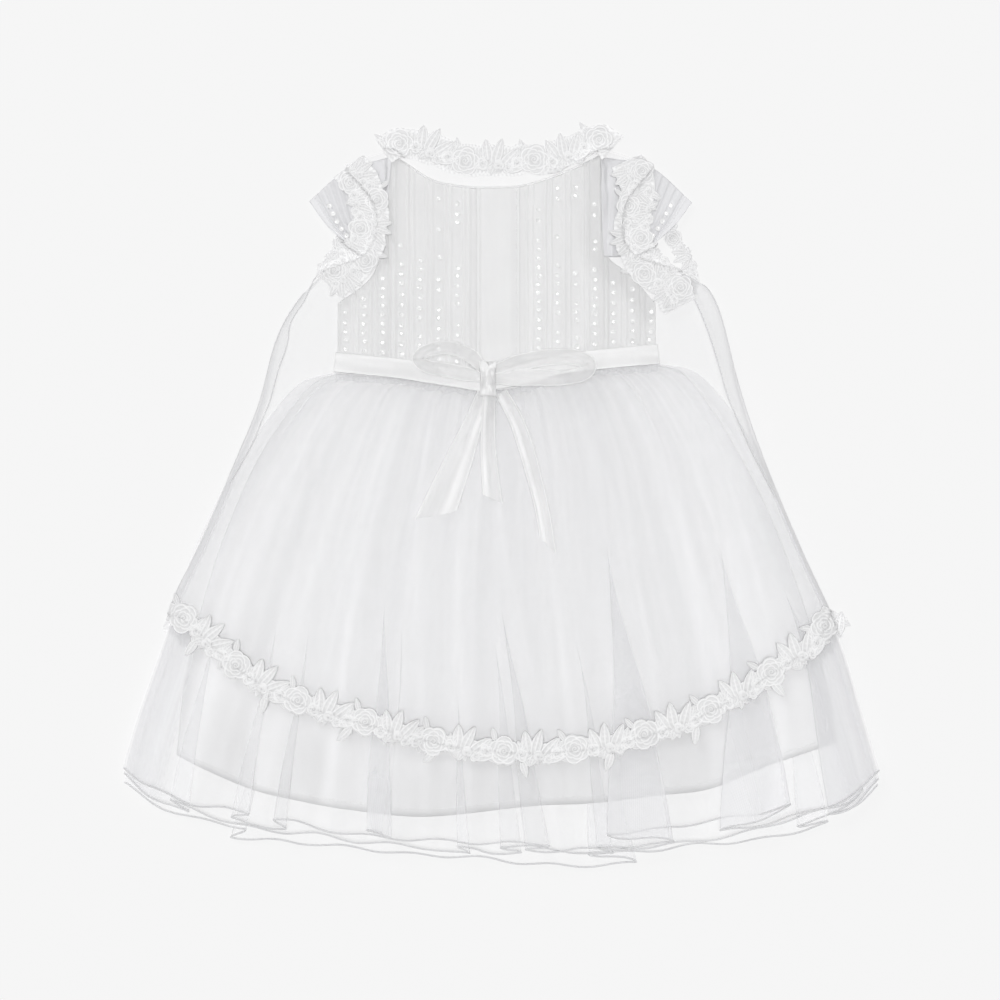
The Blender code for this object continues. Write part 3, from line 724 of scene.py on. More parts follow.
def grown(source, tree, values):
    """Run a tree on a mesh object, which is used up, and hand over the mesh that the tree makes."""
    grow = source.modifiers.new("grow", "NODES")
    grow.node_group = tree
    for name, value in values.items():
        grow[socket_of(tree, name)] = value
    depsgraph = bpy.context.evaluated_depsgraph_get()
    mesh = bpy.data.meshes.new_from_object(source.evaluated_get(depsgraph))
    source.modifiers.remove(grow)
    bpy.data.objects.remove(source)
    return mesh


def object_of(name, mesh):
    """A smooth-shaded object of a mesh, in the scene."""
    mesh.name = name
    made = bpy.data.objects.new(name, mesh)
    bpy.context.scene.collection.objects.link(made)
    mesh.shade_smooth()
    return made


def cords(name, lines, radius, material, sides=6):
    """One mesh of round cords, each along a line of points."""
    verts, edges = [], []
    for line in lines:
        first = len(verts)
        verts += list(line)
        edges += [(first + k, first + k + 1) for k in range(len(line) - 1)]
    mesh = bpy.data.meshes.new(name)
    mesh.from_pydata(np.array(verts).tolist(), edges, [])
    source = object_of(name + ".lines", mesh)
    made = grown(source, TREES["cord"], {"Radius": radius, "Sides": sides, "Finish": MATERIALS[material]})
    for layer in list(made.uv_layers):
        made.uv_layers.remove(layer)
    lay_uvs(made, [vertex.co[:2] for vertex in made.vertices])
    return object_of(name, made)


def sewn_cords(name, lines, radius, material, carrier, sides=6):
    """Round cords that are sewn to a cloth and go with it."""
    made = cords(name, lines, radius, material, sides)
    finish_piece(made, material)
    goes_with(made, carrier)


def scatter(name, motif, places, turns, sizes, material):
    """One mesh of a motif's copies at places, each with its own turn and size."""
    mesh = bpy.data.meshes.new(name)
    mesh.from_pydata(np.array(places).tolist(), [], [])
    mesh.attributes.new("turn", "FLOAT_VECTOR", "POINT").data.foreach_set(
        "vector", np.array(turns, np.float32).ravel())
    mesh.attributes.new("size", "FLOAT", "POINT").data.foreach_set("value", np.array(sizes, np.float32))
    source = object_of(name + ".points", mesh)
    made = grown(source, TREES["scatter"], {"Motif": motif, "Size": 1.0, "Finish": MATERIALS[material]})
    return object_of(name, made)


def join(name, parts):
    """Join objects into the first of them."""
    with bpy.context.temp_override(active_object=parts[0], selected_editable_objects=parts):
        bpy.ops.object.join()
    parts[0].name = name
    parts[0].data.name = name
    return parts[0]


# The skirt's nets

HEM_WIDTH = 560 * MM


def fold_path(u, v, folds, width):
    """Where the cloth at share u across and v down lies. Each fold runs forward, back under itself and forward
    again. Handed over are the share across the plan, the lift of the folds from 0 to 1, how many layers more lie
    there, and the step of the hem in millimetres."""
    place = u + 0 * v
    lift, layers, step = (np.zeros(place.shape) for _ in range(3))
    for at_waist, at_hem, wide, start, way, jump, gathers in folds:
        centre = at_waist + (at_hem - at_waist) * v
        grown_by = smooth((v - start) / (1 - start)) ** 0.7
        reach = (0.45 + 0.55 * v) * wide * MM / width / 0.9
        x = (u - centre) / reach * way
        within = np.abs(x) < 1
        pull = np.where(within, x * (1 - x * x) ** 2, 0) * 3.2 * grown_by
        place = place - way * reach * pull
        high = np.where(x < -0.35, smooth((x + 1) / 0.4), 1 - smooth((x + 0.35) / 0.7))
        lift = lift + np.where(within, high * grown_by, 0)
        edges = bump((np.abs(x) - 0.42) / 0.12) * 8 * MM / (wide * MM + 4 * MM) * 3
        hanging = 0.25 + 0.75 * smooth((v - 0.6) / 0.2)
        layers = layers + (0.7 * edges + gathers * smooth((0.47 - np.abs(x)) / 0.06)) * grown_by * hanging
        beyond = 0.5 * np.sign(x) * (1 - smooth((np.abs(x) - 0.35) / 3))
        step = step + np.where(np.abs(x) < 0.35, x / 0.7, beyond) * jump * way * grown_by
    return place, np.clip(lift, 0, 1.3), layers, step


def painted_light_streaks(u, v):
    """Painted light: soft lighter lines that run down the gathered skirt along its ridges, with a random unevenness,
    from about -0.3 to 1.
    """
    fine = np.clip(noise(u * 75 + 1.2 * v, 13), 0, 1) ** 1.6
    broad = noise(u * 21 + 1.5 * v, 14)
    placed = sum(bump((u - at_waist - (at_hem - at_waist) * v) * 560 / (wide * (0.4 + 0.6 * v)))
                 for at_waist, at_hem, wide in NET_RIDGES)
    return (0.5 * fine + 0.15 * broad + 0.4 * placed) * smooth(v * 6)


def skirt_net(which, columns, rows, drop, phase, folds, fold_lift, gathers, seed, rests_on, held="gathered"):
    """One net of the skirt with its rolled hem. Drop is how far its hem hangs below the outline in mm, phase
    shifts its scallops, and gathers is the number of pleats across the waist."""
    v, u = grid_shares(rows, columns)
    v = v ** 1.15
    base = patch(WAIST, HEM, SKIRT_LEFT, SKIRT_RIGHT, *grid_shares(60, 160))
    place, lift, layers, step = fold_path(u, v, folds, HEM_WIDTH)
    scallop = 1.2 * np.sin(2 * np.pi * 11 * place + phase) + 1.2 * noise(u * 19, seed + 1) + step
    plan = look_up(base, place, v + 0 * u)
    plan[..., 1] += v ** 5 * (scallop - drop) * MM - (1 - v) ** 8 * 0.3 * MM
    name, node = f"skirt_net_{which}", f"skirt_{which}"
    form = Form(node)
    thin = max(1, columns // 150)
    coarse = form.centre(plan[::2, ::thin], 2)
    z = look_up(coarse[..., None], u + 0 * v, grid_shares(rows, 1)[0] + 0 * u)[..., 0]
    fade = np.exp(-v * 3.5)
    pleats = noise(u * gathers, seed) * 0.75 + noise(u * gathers * 2.3, seed + 7) * 0.35
    soft = noise(u * 30 + 1.5 * v, seed + 3) * smooth(v * 4) * 0.3
    z = z + (pleats * fade * 0.15 + soft + lift * fold_lift) * MM
    points = PILE.clear(np.dstack([plan, z]))
    waist_run = np.linalg.norm(plan[:, -1] - plan[:, 0], axis=1)[:, None]
    close = (HEM_WIDTH * 1.05 / waist_run) ** 0.9
    broad = 0.30 * noise(u * 30 + 2.2 * v, seed + 11) + 0.12 * noise(u * 75 + 2 * v, seed + 12)
    edge = np.minimum(u, 1 - u)
    low = smooth((v - 0.6) / 0.15)
    doubled = 5 * bump(edge / 0.004) + 3 * bump((edge - 0.012) / 0.004)
    sides = (0.6 + 3.5 * low) * smooth((0.075 - edge) / 0.05) + low * doubled
    sides = sides * smooth((v - 0.05) / 0.15)
    past_lining = smooth((v - 0.86) / 0.08)
    folded = layers * (0.5 + 1.5 * past_lining)
    density = close * (1 + 0.35 * noise(u * gathers, seed) * fade + broad) + folded + sides
    # Painted light: the net's colour is made lighter along its ridges and where its folds lie over the lining, so the
    # stacked folds do not show dark there.
    tone = REST - 0.06 + 0.8 * painted_light_streaks(u, v) + 0.5 * np.clip(layers / 2, 0, 1) * (1 - past_lining)
    uvs = np.dstack([(u + 0 * v) * 0.75, arc(points, 0)])
    cloth(name, points, "outer tulle" if which == "outer" else "inner tulle", [node], held=held,
          rests_on=rests_on, density=density, tone=tone, uvs=uvs)
    hem = points[-1].copy()
    radius = sizes().hem_cord / 2
    hem[:, 2] = np.maximum(hem[:, 2], radius)
    sewn_cords(f"hem_cord_{which}", [hem], radius, "hem cord", name)


def make_skirt(side):
    if side == "FAR":
        skirt_net("far", columns=360, rows=44, drop=8, phase=0.4, folds=FAR_FOLDS, fold_lift=0.3, gathers=60,
                  seed=21, rests_on=["table"], held="laid")
        return
    skirt_net("inner", columns=480, rows=64, drop=1, phase=2.2, folds=INNER_FOLDS, fold_lift=0.9, gathers=90,
              seed=33, rests_on=["lining_near"])
    skirt_net("outer", columns=660, rows=72, drop=-5, phase=3.9, folds=NET_FOLDS, fold_lift=1.3, gathers=110,
              seed=45, rests_on=["skirt_net_inner"])


# The lining

def make_lining(side):
    """One side of the satin petticoat, painted darker in the shade of the folds above, the near one with its hem
    turned up.
    """
    far = side == "FAR"
    node, drop = ("petticoat_far", -2) if far else ("petticoat_near", 0)
    rows, columns = (30, 80) if far else (64, 180)
    v, u = grid_shares(rows, columns)
    plan = patch(WAIST, LINING_HEM, LINING_LEFT, LINING_RIGHT, v, u)
    plan[..., 1] -= v ** 3 * drop * MM + (1 - v) ** 8 * 0.6 * MM
    for edge, inner in ((0, 1), (-1, -2)):
        way = plan[:, inner] - plan[:, edge]
        plan[:, edge] += way / np.linalg.norm(way, axis=1, keepdims=True) * 1.5 * MM
    z = Form(node).centre(plan, 6)
    if not far:
        z = z + 0.5 * MM * noise(u * 26 + v, 5) * smooth(v * 2) * (1 - 0.6 * v)
        turn_up = bump((v * 300 - 291) / 3.5)
        z = z + 0.25 * MM * turn_up
    points = PILE.clear(np.dstack([plan, z]))
    name = "lining_far" if far else "lining_near"
    x, y = on_table(plan)
    # Painted shade: the lining's colour is made darker under the folds listed in LINING_SHADES and, below the lace,
    # towards its hem; it is painted lighter along the skirt's ridges.
    shade = sum(np.exp(-((x - at_x) / wide) ** 2 - ((y - at_y) / tall) ** 2)
                for at_x, at_y, wide, tall in LINING_SHADES)
    tone = REST - 0.06 + 0.4 * painted_light_streaks(0.5 + (u - 0.5) * (1 - 0.12 * v), v) - 0.45 * shade
    tone = tone - 0.25 * smooth((v - 0.72) / 0.2)
    cloth(name, points, "lining satin", [node], rests_on=["skirt_net_far"], thickness=SATIN_WALL,
          tone=tone)
    if not far:
        turned_row = int(rows * 0.972)
        line = points[turned_row] + [0, 0, 0.1 * MM]
        stitches("lining_stitches", line, 3.0 * MM, 0.13 * MM, name)


# Sewing

def capsule_motif():
    """A stitch: a short thread that dips at both ends."""
    t = np.linspace(-1, 1, 5)
    line = np.column_stack([t * 0.5, 0 * t, 0.18 * (1 - t ** 2)])
    sides = 5
    rings = []
    for k, point in enumerate(line):
        wide = 0.14 * math.sqrt(max(0.05, 1 - t[k] ** 4))
        for a in np.linspace(0, 2 * np.pi, sides, endpoint=False):
            rings.append(point + [0, wide * math.cos(a), wide * math.sin(a)])
    faces = []
    for k in range(len(line) - 1):
        for a in range(sides):
            b = (a + 1) % sides
            faces.append([k * sides + b, (k + 1) * sides + b, (k + 1) * sides + a, k * sides + a])
    made = mesh_object("stitch_motif", rings, faces, np.array(rings)[:, :2] * MM)
    mesh = made.data
    bm = bmesh.new()
    bm.from_mesh(mesh)
    bmesh.ops.holes_fill(bm, edges=[e for e in bm.edges if e.is_boundary], sides=6)
    bmesh.ops.recalc_face_normals(bm, faces=bm.faces[:])
    bm.to_mesh(mesh)
    bm.free()
    return made


def stitches(name, line, pitch, lift, carrier):
    """A row of stitches along a line of points."""
    run = distances(line)
    count = max(2, int(run[-1] / pitch))
    at = (np.arange(count) + 0.5) * run[-1] / count
    places = np.column_stack([np.interp(at, run, line[:, axis]) for axis in range(3)])
    way = np.gradient(places, axis=0)
    turns = np.column_stack([np.zeros(count), -np.arctan2(way[:, 2], np.hypot(way[:, 0], way[:, 1])),
                             np.arctan2(way[:, 1], way[:, 0])])
    places[:, 2] += lift
    motif = capsule_motif()
    made = scatter(name, motif, places, turns, np.full(count, pitch * 0.72), "sewing thread")
    bpy.data.objects.remove(motif)
    finish_piece(made, "sewing thread")
    goes_with(made, carrier)


# The bodice

# Millimetres from one pair of tucks to the next, across one tuck, and from the placket to the first
TUCK_GROUP = 14.0
TUCK_WIDTH = 4.1
TUCK_START = 3.0


# Share of the way from the seam to the cuff's end at which the cuff's band starts
CUFF_START = 0.9


def tuck_height(x):
    """Height from 0 to 1 of the pressed tucks at x in millimetres on the table: two tucks and a flat stretch for
    sequins by turns."""
    outward = np.where(x < 0, PLACKET_LEFT - x, x - PLACKET_RIGHT) - TUCK_START
    place = (outward % TUCK_GROUP) / TUCK_WIDTH
    share = place % 1
    rise = smooth(share / 0.6) * (1 - smooth((share - 0.62) / 0.2))
    return np.where((outward > 0) & (place < 2), rise, 0)


def edge_height(x, *outlines):
    """How far up the table the outlines lie at x."""
    points = np.vstack([curve(outline, 60) for outline in outlines])
    order = np.argsort(points[:, 0], kind="stable")
    return np.interp(x, points[order, 0], points[order, 1])


def bodice_plan(xs, rows):
    """Places of a grid between the neck and armholes and the waist, and its shares down."""
    top = edge_height(xs, ARMHOLE_LEFT[::-1], NECKLINE, ARMHOLE_RIGHT)
    bottom = edge_height(xs, WAIST) + 0.3 * MM
    v = np.linspace(0, 1, rows)[:, None]
    return np.dstack([xs[None, :] + 0 * v, top * (1 - v) + bottom * v]), v


def make_bodice(side):
    """One side of the bodice, the near one with tucks, a bound neckline and the placket."""
    left, right = ARMHOLE_LEFT[-1][0] * MM + SHIFT[0], ARMHOLE_RIGHT[-1][0] * MM + SHIFT[0]
    if side == "FAR":
        xs = np.linspace(left, right, 80)
        plan, v = bodice_plan(xs, 30)
        plan[0, :, 1] -= 6 * MM * np.clip(1 - (xs / (70 * MM)) ** 2, 0, 1)
        z = Form("bodice_far").centre(plan)
        points = PILE.clear(np.dstack([plan, z]))
        cloth("bodice_back_panel", points, "bodice crepe", ["bodice_far"],
              rests_on=["sash_band_far"], thickness=CREPE_WALL)
        return
    xs = np.linspace(left + 0.2 * MM, right - 0.2 * MM, 360)
    plan, v = bodice_plan(xs, 46)
    base = Form("bodice_near").bottom(plan, 10) + 0.6 * MM
    sway = 0.5 * noise2(xs[None, :] / (30 * MM), v * 5, 3)
    tucks = tuck_height((xs[None, :] - SHIFT[0]) / MM + sway)
    ripple = 0.12 * noise2(xs[None, :] / (5 * MM), v * 22, 9) + 0.3 * noise2(xs[None, :] / (26 * MM), v * 4, 8)
    z = base + (0.65 * tucks + ripple) * MM
    points = PILE.clear(np.dstack([plan, z]))
    # Painted shade: the bodice's colour is made darker along the armholes, most on the right, and on the flat
    # stretches between the raised tucks.
    shade = 0.2 * crease(plan, ARMHOLE_LEFT, 15) + 0.7 * crease(plan, ARMHOLE_RIGHT, 24)
    tone = REST + 0.12 * noise(xs / (9 * MM) + 0.6 * v, 17) - 0.15 * (1 - tucks) - shade
    cloth("bodice_tucked_panel", points, "bodice crepe", ["bodice_near"],
          rests_on=["bodice_back_panel"], thickness=CREPE_WALL, tone=tone)
    edge = curve(NECKLINE, 140)
    height = PILE.even(edge, 1)
    line = np.column_stack([edge[:, 0], edge[:, 1] - 0.9 * MM, np.maximum(height, 4 * MM) + 0.2 * MM])
    sewn_cords("neck_binding", [line], NECK_BINDING, "sewing thread", "bodice_tucked_panel", 8)
    make_placket()


def make_placket():
    """The plain band down the bodice's middle, stitched along both sides."""
    columns = 48
    xs = np.linspace(PLACKET_LEFT * MM, PLACKET_RIGHT * MM, columns) + SHIFT[0]
    plan, v = bodice_plan(xs, 90)
    plan[..., 1] -= MM * (1 - v)
    plan[..., 1] += 14 * MM * v
    z = Form("placket").centre(plan, 8)
    u = grid_shares(1, columns)[1]
    z = z + (0.25 * noise2(u * 3, v * 9, 14) + 0.45 * bump((u - 0.06) / 0.06)) * MM
    merge = smooth((u - 0.75) / 0.25)
    z = z * (1 - merge) + (PILE.even(plan, 3) + 0.4 * MM) * merge
    points = PILE.clear(np.dstack([plan, z]))
    cloth("placket_band", points, "bodice crepe", ["placket"], rests_on=["bodice_tucked_panel"],
          thickness=SLEEVE_WALL)
    for number, column in ((1, 4), (2, columns - 5)):
        stitches(f"placket_stitches_{number}", points[:, column], 2.6 * MM, 0.1 * MM,
                 "placket_band")


def sleeve_plan(hand, v, u):
    edges = SLEEVES[hand]
    return patch(edges["top"], edges["under"], edges["seam"], edges["cuff"], v, u)


def make_sleeves(side):
    """Both sleeves of one side, whose tucks run along the cuff and whose seam merges into the bodice."""
    far = side == "FAR"
    for hand, outward in (("left", -1), ("right", 1)):
        node = f"sleeve_{hand}_{side.lower()}"
        rows, columns = (24, 26) if far else (60, 90)
        v, u = grid_shares(rows, columns)
        plan = sleeve_plan(hand, v, u)
        plan[..., 0] += 0.3 * outward * MM
        if far:
            z = Form(node).centre(plan)
        else:
            plan[..., 0] -= 3.2 * MM * (1 - u) ** 3 * outward
            share = u * 11 - np.floor(u * 11)
            tucks = smooth(share / 0.5) * (1 - smooth((share - 0.55) / 0.2)) * (u > 0.36) * (u < CUFF_START)
            cuff = smooth((u - CUFF_START) / 0.02) * 0.9
            z = Form(node).bottom(plan, 6) + 0.6 * MM + (0.8 * tucks + cuff) * MM
            z = z + 0.3 * MM * noise2(u * 4, v * 6, 31)
            merge = 1 - smooth(u / 0.16)
            z = z * (1 - merge) + (PILE.even(plan, 3) + 0.15 * MM) * merge
        points = PILE.clear(np.dstack([plan, z]))
        name = f"cap_sleeve_{hand}" + ("_back" if far else "")
        # Painted light: the sleeve's colour is made lighter by its seam, most on the left, and on its raised cuff
        # band.
        at_seam = (0.4 if hand == "left" else 0.15) * (1 - smooth(u / 0.4))
        painted_light_at_edges = at_seam + 0.6 * smooth((u - CUFF_START) / 0.02)
        tone = REST + painted_light_at_edges + 0.25 * noise2(u * 5, v * 4, 32)
        cloth(name, points, "sleeve crepe", [node], thickness=SLEEVE_WALL, tone=tone,
              rests_on=["overlay_robe_back" if far else f"cap_sleeve_{hand}_back"])
        if not far:
            stitches(f"cuff_stitches_{hand}", points[:, int(columns * 0.93)], 2.4 * MM, 0.15 * MM,
                     name)


# Sequins

def sequin_motif():
    """A cupped disc 1 across with a hole, its rim in ten sides."""
    sides = 10
    verts, faces = [], []
    for radius, height in ((0.5, 0.10), (0.38, 0.0), (0.12, 0.02)):
        for a in np.linspace(0, 2 * np.pi, sides, endpoint=False):
            verts.append((radius * math.cos(a), radius * math.sin(a), height))
    for ring in range(2):
        for a in range(sides):
            b = (a + 1) % sides
            faces.append((ring * sides + a, ring * sides + b, (ring + 1) * sides + b, (ring + 1) * sides + a))
    return mesh_object("sequin_motif", verts, faces, np.array(verts)[:, :2] * MM)


def make_sequins():
    """Rows of sequins between the tucks, sparser towards the neck, and two rows on each sleeve."""
    s = sizes()
    random = np.random.default_rng(77)
    places = []
    for way, edge in ((-1, PLACKET_LEFT), (1, PLACKET_RIGHT)):
        for row in range(7):
            x = edge + way * (TUCK_START + TUCK_GROUP * row + 2.7 * TUCK_WIDTH)
            low, high = (float(edge_height(x * MM + SHIFT[0], outline)) / MM for outline in (
                WAIST, NECKLINE if abs(x) < 80 else (ARMHOLE_LEFT[::-1] if x < 0 else ARMHOLE_RIGHT)))
            y = low + 18
            while y < high - 8:
                if random.random() < (0.95 if y < 165 else 0.5):
                    places.append((x * MM + SHIFT[0] + random.normal() * 0.35 * MM, y * MM))
                y += s.sequin_pitch / MM * random.uniform(0.85, 1.2)
    for hand in SLEEVES:
        sleeve = sleeve_plan(hand, *grid_shares(9, 12))
        places += [tuple(sleeve[row, column]) for column in (5, 9) for row in range(2, 7)]
    places = np.array(places)
    z = PILE.read(places) + 0.25 * MM
    turns = np.column_stack([random.normal(0, 0.08, len(places)), random.normal(0, 0.08, len(places)),
                             random.uniform(0, 6.28, len(places))])
    motif = sequin_motif()
    made = scatter("sequins", motif, np.column_stack([places, z]), turns,
                   s.sequin_size * random.uniform(0.92, 1.05, len(places)), "clear sequin")
    bpy.data.objects.remove(motif)
    finish_piece(made, "clear sequin")
    goes_with(made, "bodice_tucked_panel")


# The sash and its bow

def rolled_edges(name, points):
    """The two rolled edges of a sheer ribbon."""
    lines = [points[:, 0] + [0, 0, 0.1 * MM], points[:, -1] + [0, 0, 0.1 * MM]]
    sewn_cords(name + "_edges", lines, RIBBON_EDGE, "ribbon edge", name)


def ribbon(name, node, path, widths, rows, columns, crumple, seed, rests_on, sheer=False, slant=0.0, strip=0.0):
    """A ribbon laid along a path, with its width in mm along it, and crumples so many mm high. Slant is the share
    by which its viewer's right side is shorter, and strip tells the place of a lengthwise fold from -1 to 1
    across. A sheer one has rolled edges."""
    half = np.interp(np.linspace(0, 1, rows), np.linspace(0, 1, len(widths)), widths) * MM / 2
    t, s = np.linspace(0, 1, rows)[:, None], np.linspace(-1, 1, columns)[None, :]
    shorter = max(slant, 0) * (1 + s) / 2 + max(-slant, 0) * (1 - s) / 2
    plan = look_up(band(path, half, half, rows, columns), (s + 1) / 2 + 0 * t, t * (1 - shorter))
    z = Form(node).centre(plan, 4)
    z = z + crumple * MM * (noise2(s * 1.6, t * 7, seed) * 0.6 + noise2(s * 3.1, t * 3, seed + 1) * 0.4)
    points = PILE.clear(np.dstack([plan, z]))
    # The rolled edges and the lengthwise fold lie denser, and their colour is painted lighter as a highlight.
    folded = bump((s - strip) / 0.42) if strip else 0 * s
    edges = smooth((np.abs(s) - 0.86) / 0.14)
    cloth(name, points, "ribbon organza" if sheer else "belt satin", [node], rests_on=[rests_on],
          thickness=0 if sheer else BELT_WALL, held="folded" if sheer else "laid",
          density=1 + 1.2 * edges + 1.3 * folded + 0.3 * noise2(s * 2, t * 4, seed + 2),
          tone=REST + 0.25 * edges + 0.4 * folded + 0.25 * noise2(s * 2, t * 4, seed + 3))
    if sheer:
        rolled_edges(name, points)


# The sash's own width in mm
BELT_WIDTH = 15
# Tails of the bow: name, path, widths along it in mm, rows and columns, crumple in mm, seed, slant and strip
TAILS = [
    ("wide", TAIL_WIDE, [9, 14, 20, 24, 27], 120, 20, 0.6, 7, 0.16, 0.45),
    ("centre", TAIL_CENTRE, [9, 10, 12, 14], 90, 12, 0.4, 8, -0.1, -0.6),
    ("right", TAIL_RIGHT, [9, 11, 10, 10], 120, 12, 0.4, 9, -0.12, -0.5),
]
# Bow loops: rows of x, y, height above the belt and the tilt of the ribbon's width from flat, in mm and degrees
LOOP_LEFT = [(-12, 92, 1.5, 15), (-22, 103, 2.5, 20), (-38, 109, 3, 25), (-54, 107, 3, 30), (-61, 101, 2.5, 35),
             (-54, 95, 2, 20), (-38, 92, 1.5, 12), (-13, 87, 1.5, 8)]
LOOP_RIGHT = [(-5, 92, 1.5, 15), (14, 98, 2.5, 18), (36, 102, 3, 22), (55, 102, 3, 26), (66, 97, 3, 35),
              (62, 90, 2.5, 26), (46, 87, 2, 15), (22, 87, 1.5, 10), (-4, 86, 1.5, 8)]


def bow_loop(hand, rows, width, seed, crumple):
    """A loop of the bow: a sheer ribbon, pinched at the knot, that widens, turns back and is pinched again."""
    name, node = f"bow_{hand}_loop", f"bow_loop_{hand}"
    rows = np.array(rows, float)
    t, s = np.linspace(0, 1, 110)[:, None], np.linspace(-1, 1, 12)[None, :]
    flat = curve(rows[:, :2], len(t))
    key = np.linspace(0, 1, len(rows))
    height = np.interp(t, key, rows[:, 2]) * MM
    tilt = np.radians(np.interp(t, key, rows[:, 3]))
    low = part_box(node)[0].z
    half = width / 2 * np.interp(t, (0, 0.12, 0.88, 1), (0.6, 1, 1, 0.6))
    looseness = np.interp(t, (0, 0.35, 0.5, 0.65, 1), (0.3, 0.5, 1, 0.5, 0.3))
    pinch = crumple * noise2(s * 2.2, t * 16, seed) * looseness
    plan = flat[:, None] + (s * half * np.cos(tilt))[..., None] * along(flat)[1][:, None]
    z = low + height + s * half * np.sin(tilt) + pinch * MM + 0.8 * MM
    points = PILE.clear(np.dstack([plan, np.maximum(z, low + 0.2 * MM)]))
    cloth(name, points, "ribbon organza", [node], held="folded", rests_on=[f"sash_band_{hand}"],
          density=1 + 1.4 * smooth((np.abs(s) - 0.84) / 0.16) + 0.3 * noise(t * 14, seed + 4),
          tone=REST + 0.25 * noise2(s * 2, t * 12, seed + 5))
    rolled_edges(name, points)


def make_sash(side):
    if side == "FAR":
        ribbon("sash_band_far", "sash_far", BELT_FAR, [BELT_WIDTH], rows=120, columns=8, crumple=0.1, seed=3,
               rests_on="overlay_robe_back")
        return
    frill()
    for hand, path, rows, seed in (("left", BELT_LEFT, 110, 5), ("right", BELT_RIGHT, 120, 6)):
        ribbon(f"sash_band_{hand}", f"sash_{hand}", path, [BELT_WIDTH], rows, columns=12, crumple=0.25, seed=seed,
               rests_on="bodice_tucked_panel")
    for which, path, widths, rows, columns, crumple, seed, slant, strip in TAILS:
        ribbon(f"bow_tail_{which}_ribbon", f"bow_tail_{which}", path, widths, rows, columns, crumple, seed,
               rests_on="skirt_net_outer", sheer=True, slant=slant, strip=strip)
    bow_loop("left", LOOP_LEFT, width=11 * MM, seed=11, crumple=0.5)
    bow_loop("right", LOOP_RIGHT, width=13 * MM, seed=12, crumple=0.9)
    knot()


def knot():
    """The ribbon wrapped round the bow's middle, in slanted folds."""
    x, y = np.array(KNOT_CENTRE) * MM + SHIFT
    wide, tall = np.array(KNOT_SIZE) * MM
    u, v = np.linspace(-0.5, 0.5, 30)[None, :], np.linspace(0.5, -0.5, 44)[:, None]
    plan = np.dstack([x + wide * u * (0.85 + 0.6 * v ** 2) + 0 * v, y + tall * v + 0 * u])
    z = Form("bow_knot").read(plan, 1)
    z = soften(z, 6) + 0.45 * MM * np.cos(2 * np.pi * (u * 4.5 + v * 0.6)) * (1 - 2 * np.abs(v)) ** 0.5
    points = PILE.clear(np.dstack([plan, z]))
    cloth("bow_centre_knot", points, "belt satin", ["bow_knot"], held="folded",
          rests_on=["bow_left_loop", "bow_right_loop"], thickness=SATIN_WALL)


def frill():
    """The gathered edge of the net that stands out below the belt."""
    t, s = grid_shares(520, 6)
    waves = t * 2 * np.pi * 75
    drop = (0.5 + 5.5 * s) * (1 + 0.25 * noise(t * 60, 4))
    plan = curve(WAIST, len(t))[:, None] + np.dstack([0.5 * np.sin(waves) * s, -drop]) * MM
    z = PILE.even(plan, 1) + (0.4 + 0.3 * s * (1 + np.sin(waves + 2 * noise(t * 40, 2)))) * MM
    points = PILE.clear(np.dstack([plan, z]))
    # Painted light: the frill is coloured lighter, so that no shade shows below the belt.
    made = cloth("waist_frill", points, "outer tulle", density=2.5, tone=REST + 0.3)
    del SHEETS[made.name]
    goes_with(made, "skirt_net_outer")


# The overlay robe

def crease(plan, rows, width):
    """How near each place is to a line through rows of points: 1 on it and 0 from width on."""
    line = curve(rows, 160)
    flat = plan.reshape(-1, 2)
    block = 8000
    nearest = np.concatenate([np.linalg.norm(flat[start:start + block, None] - line[None], axis=2).min(axis=1)
                              for start in range(0, len(flat), block)])
    return bump(nearest.reshape(plan.shape[:2]) / (width * MM))


# Share of the way down the overlay's sides at which their seams show
SEAM_START = 0.34
# Long soft creases of the overlay
OVERLAY_CREASES = [
    [(-120, 120), (-132, 80), (-140, 30), (-150, -40)],
    [(60, 70), (86, 10), (104, -60), (118, -120)],
    [(-40, 60), (-60, -10), (-78, -90), (-84, -150)],
]


def turned_over(x, y, line, way):
    """1 on the side of the line of a turned-over edge to which way points, and 0 on the other."""
    rows = np.array(line[::-1], float)
    inner = np.interp(y, rows[:, 1], rows[:, 0])
    reach = smooth((y - rows[0, 1]) / 12) * smooth((rows[-1, 1] - y) / 5)
    return smooth((x - inner) * way / 0.8 + 0.5) * reach


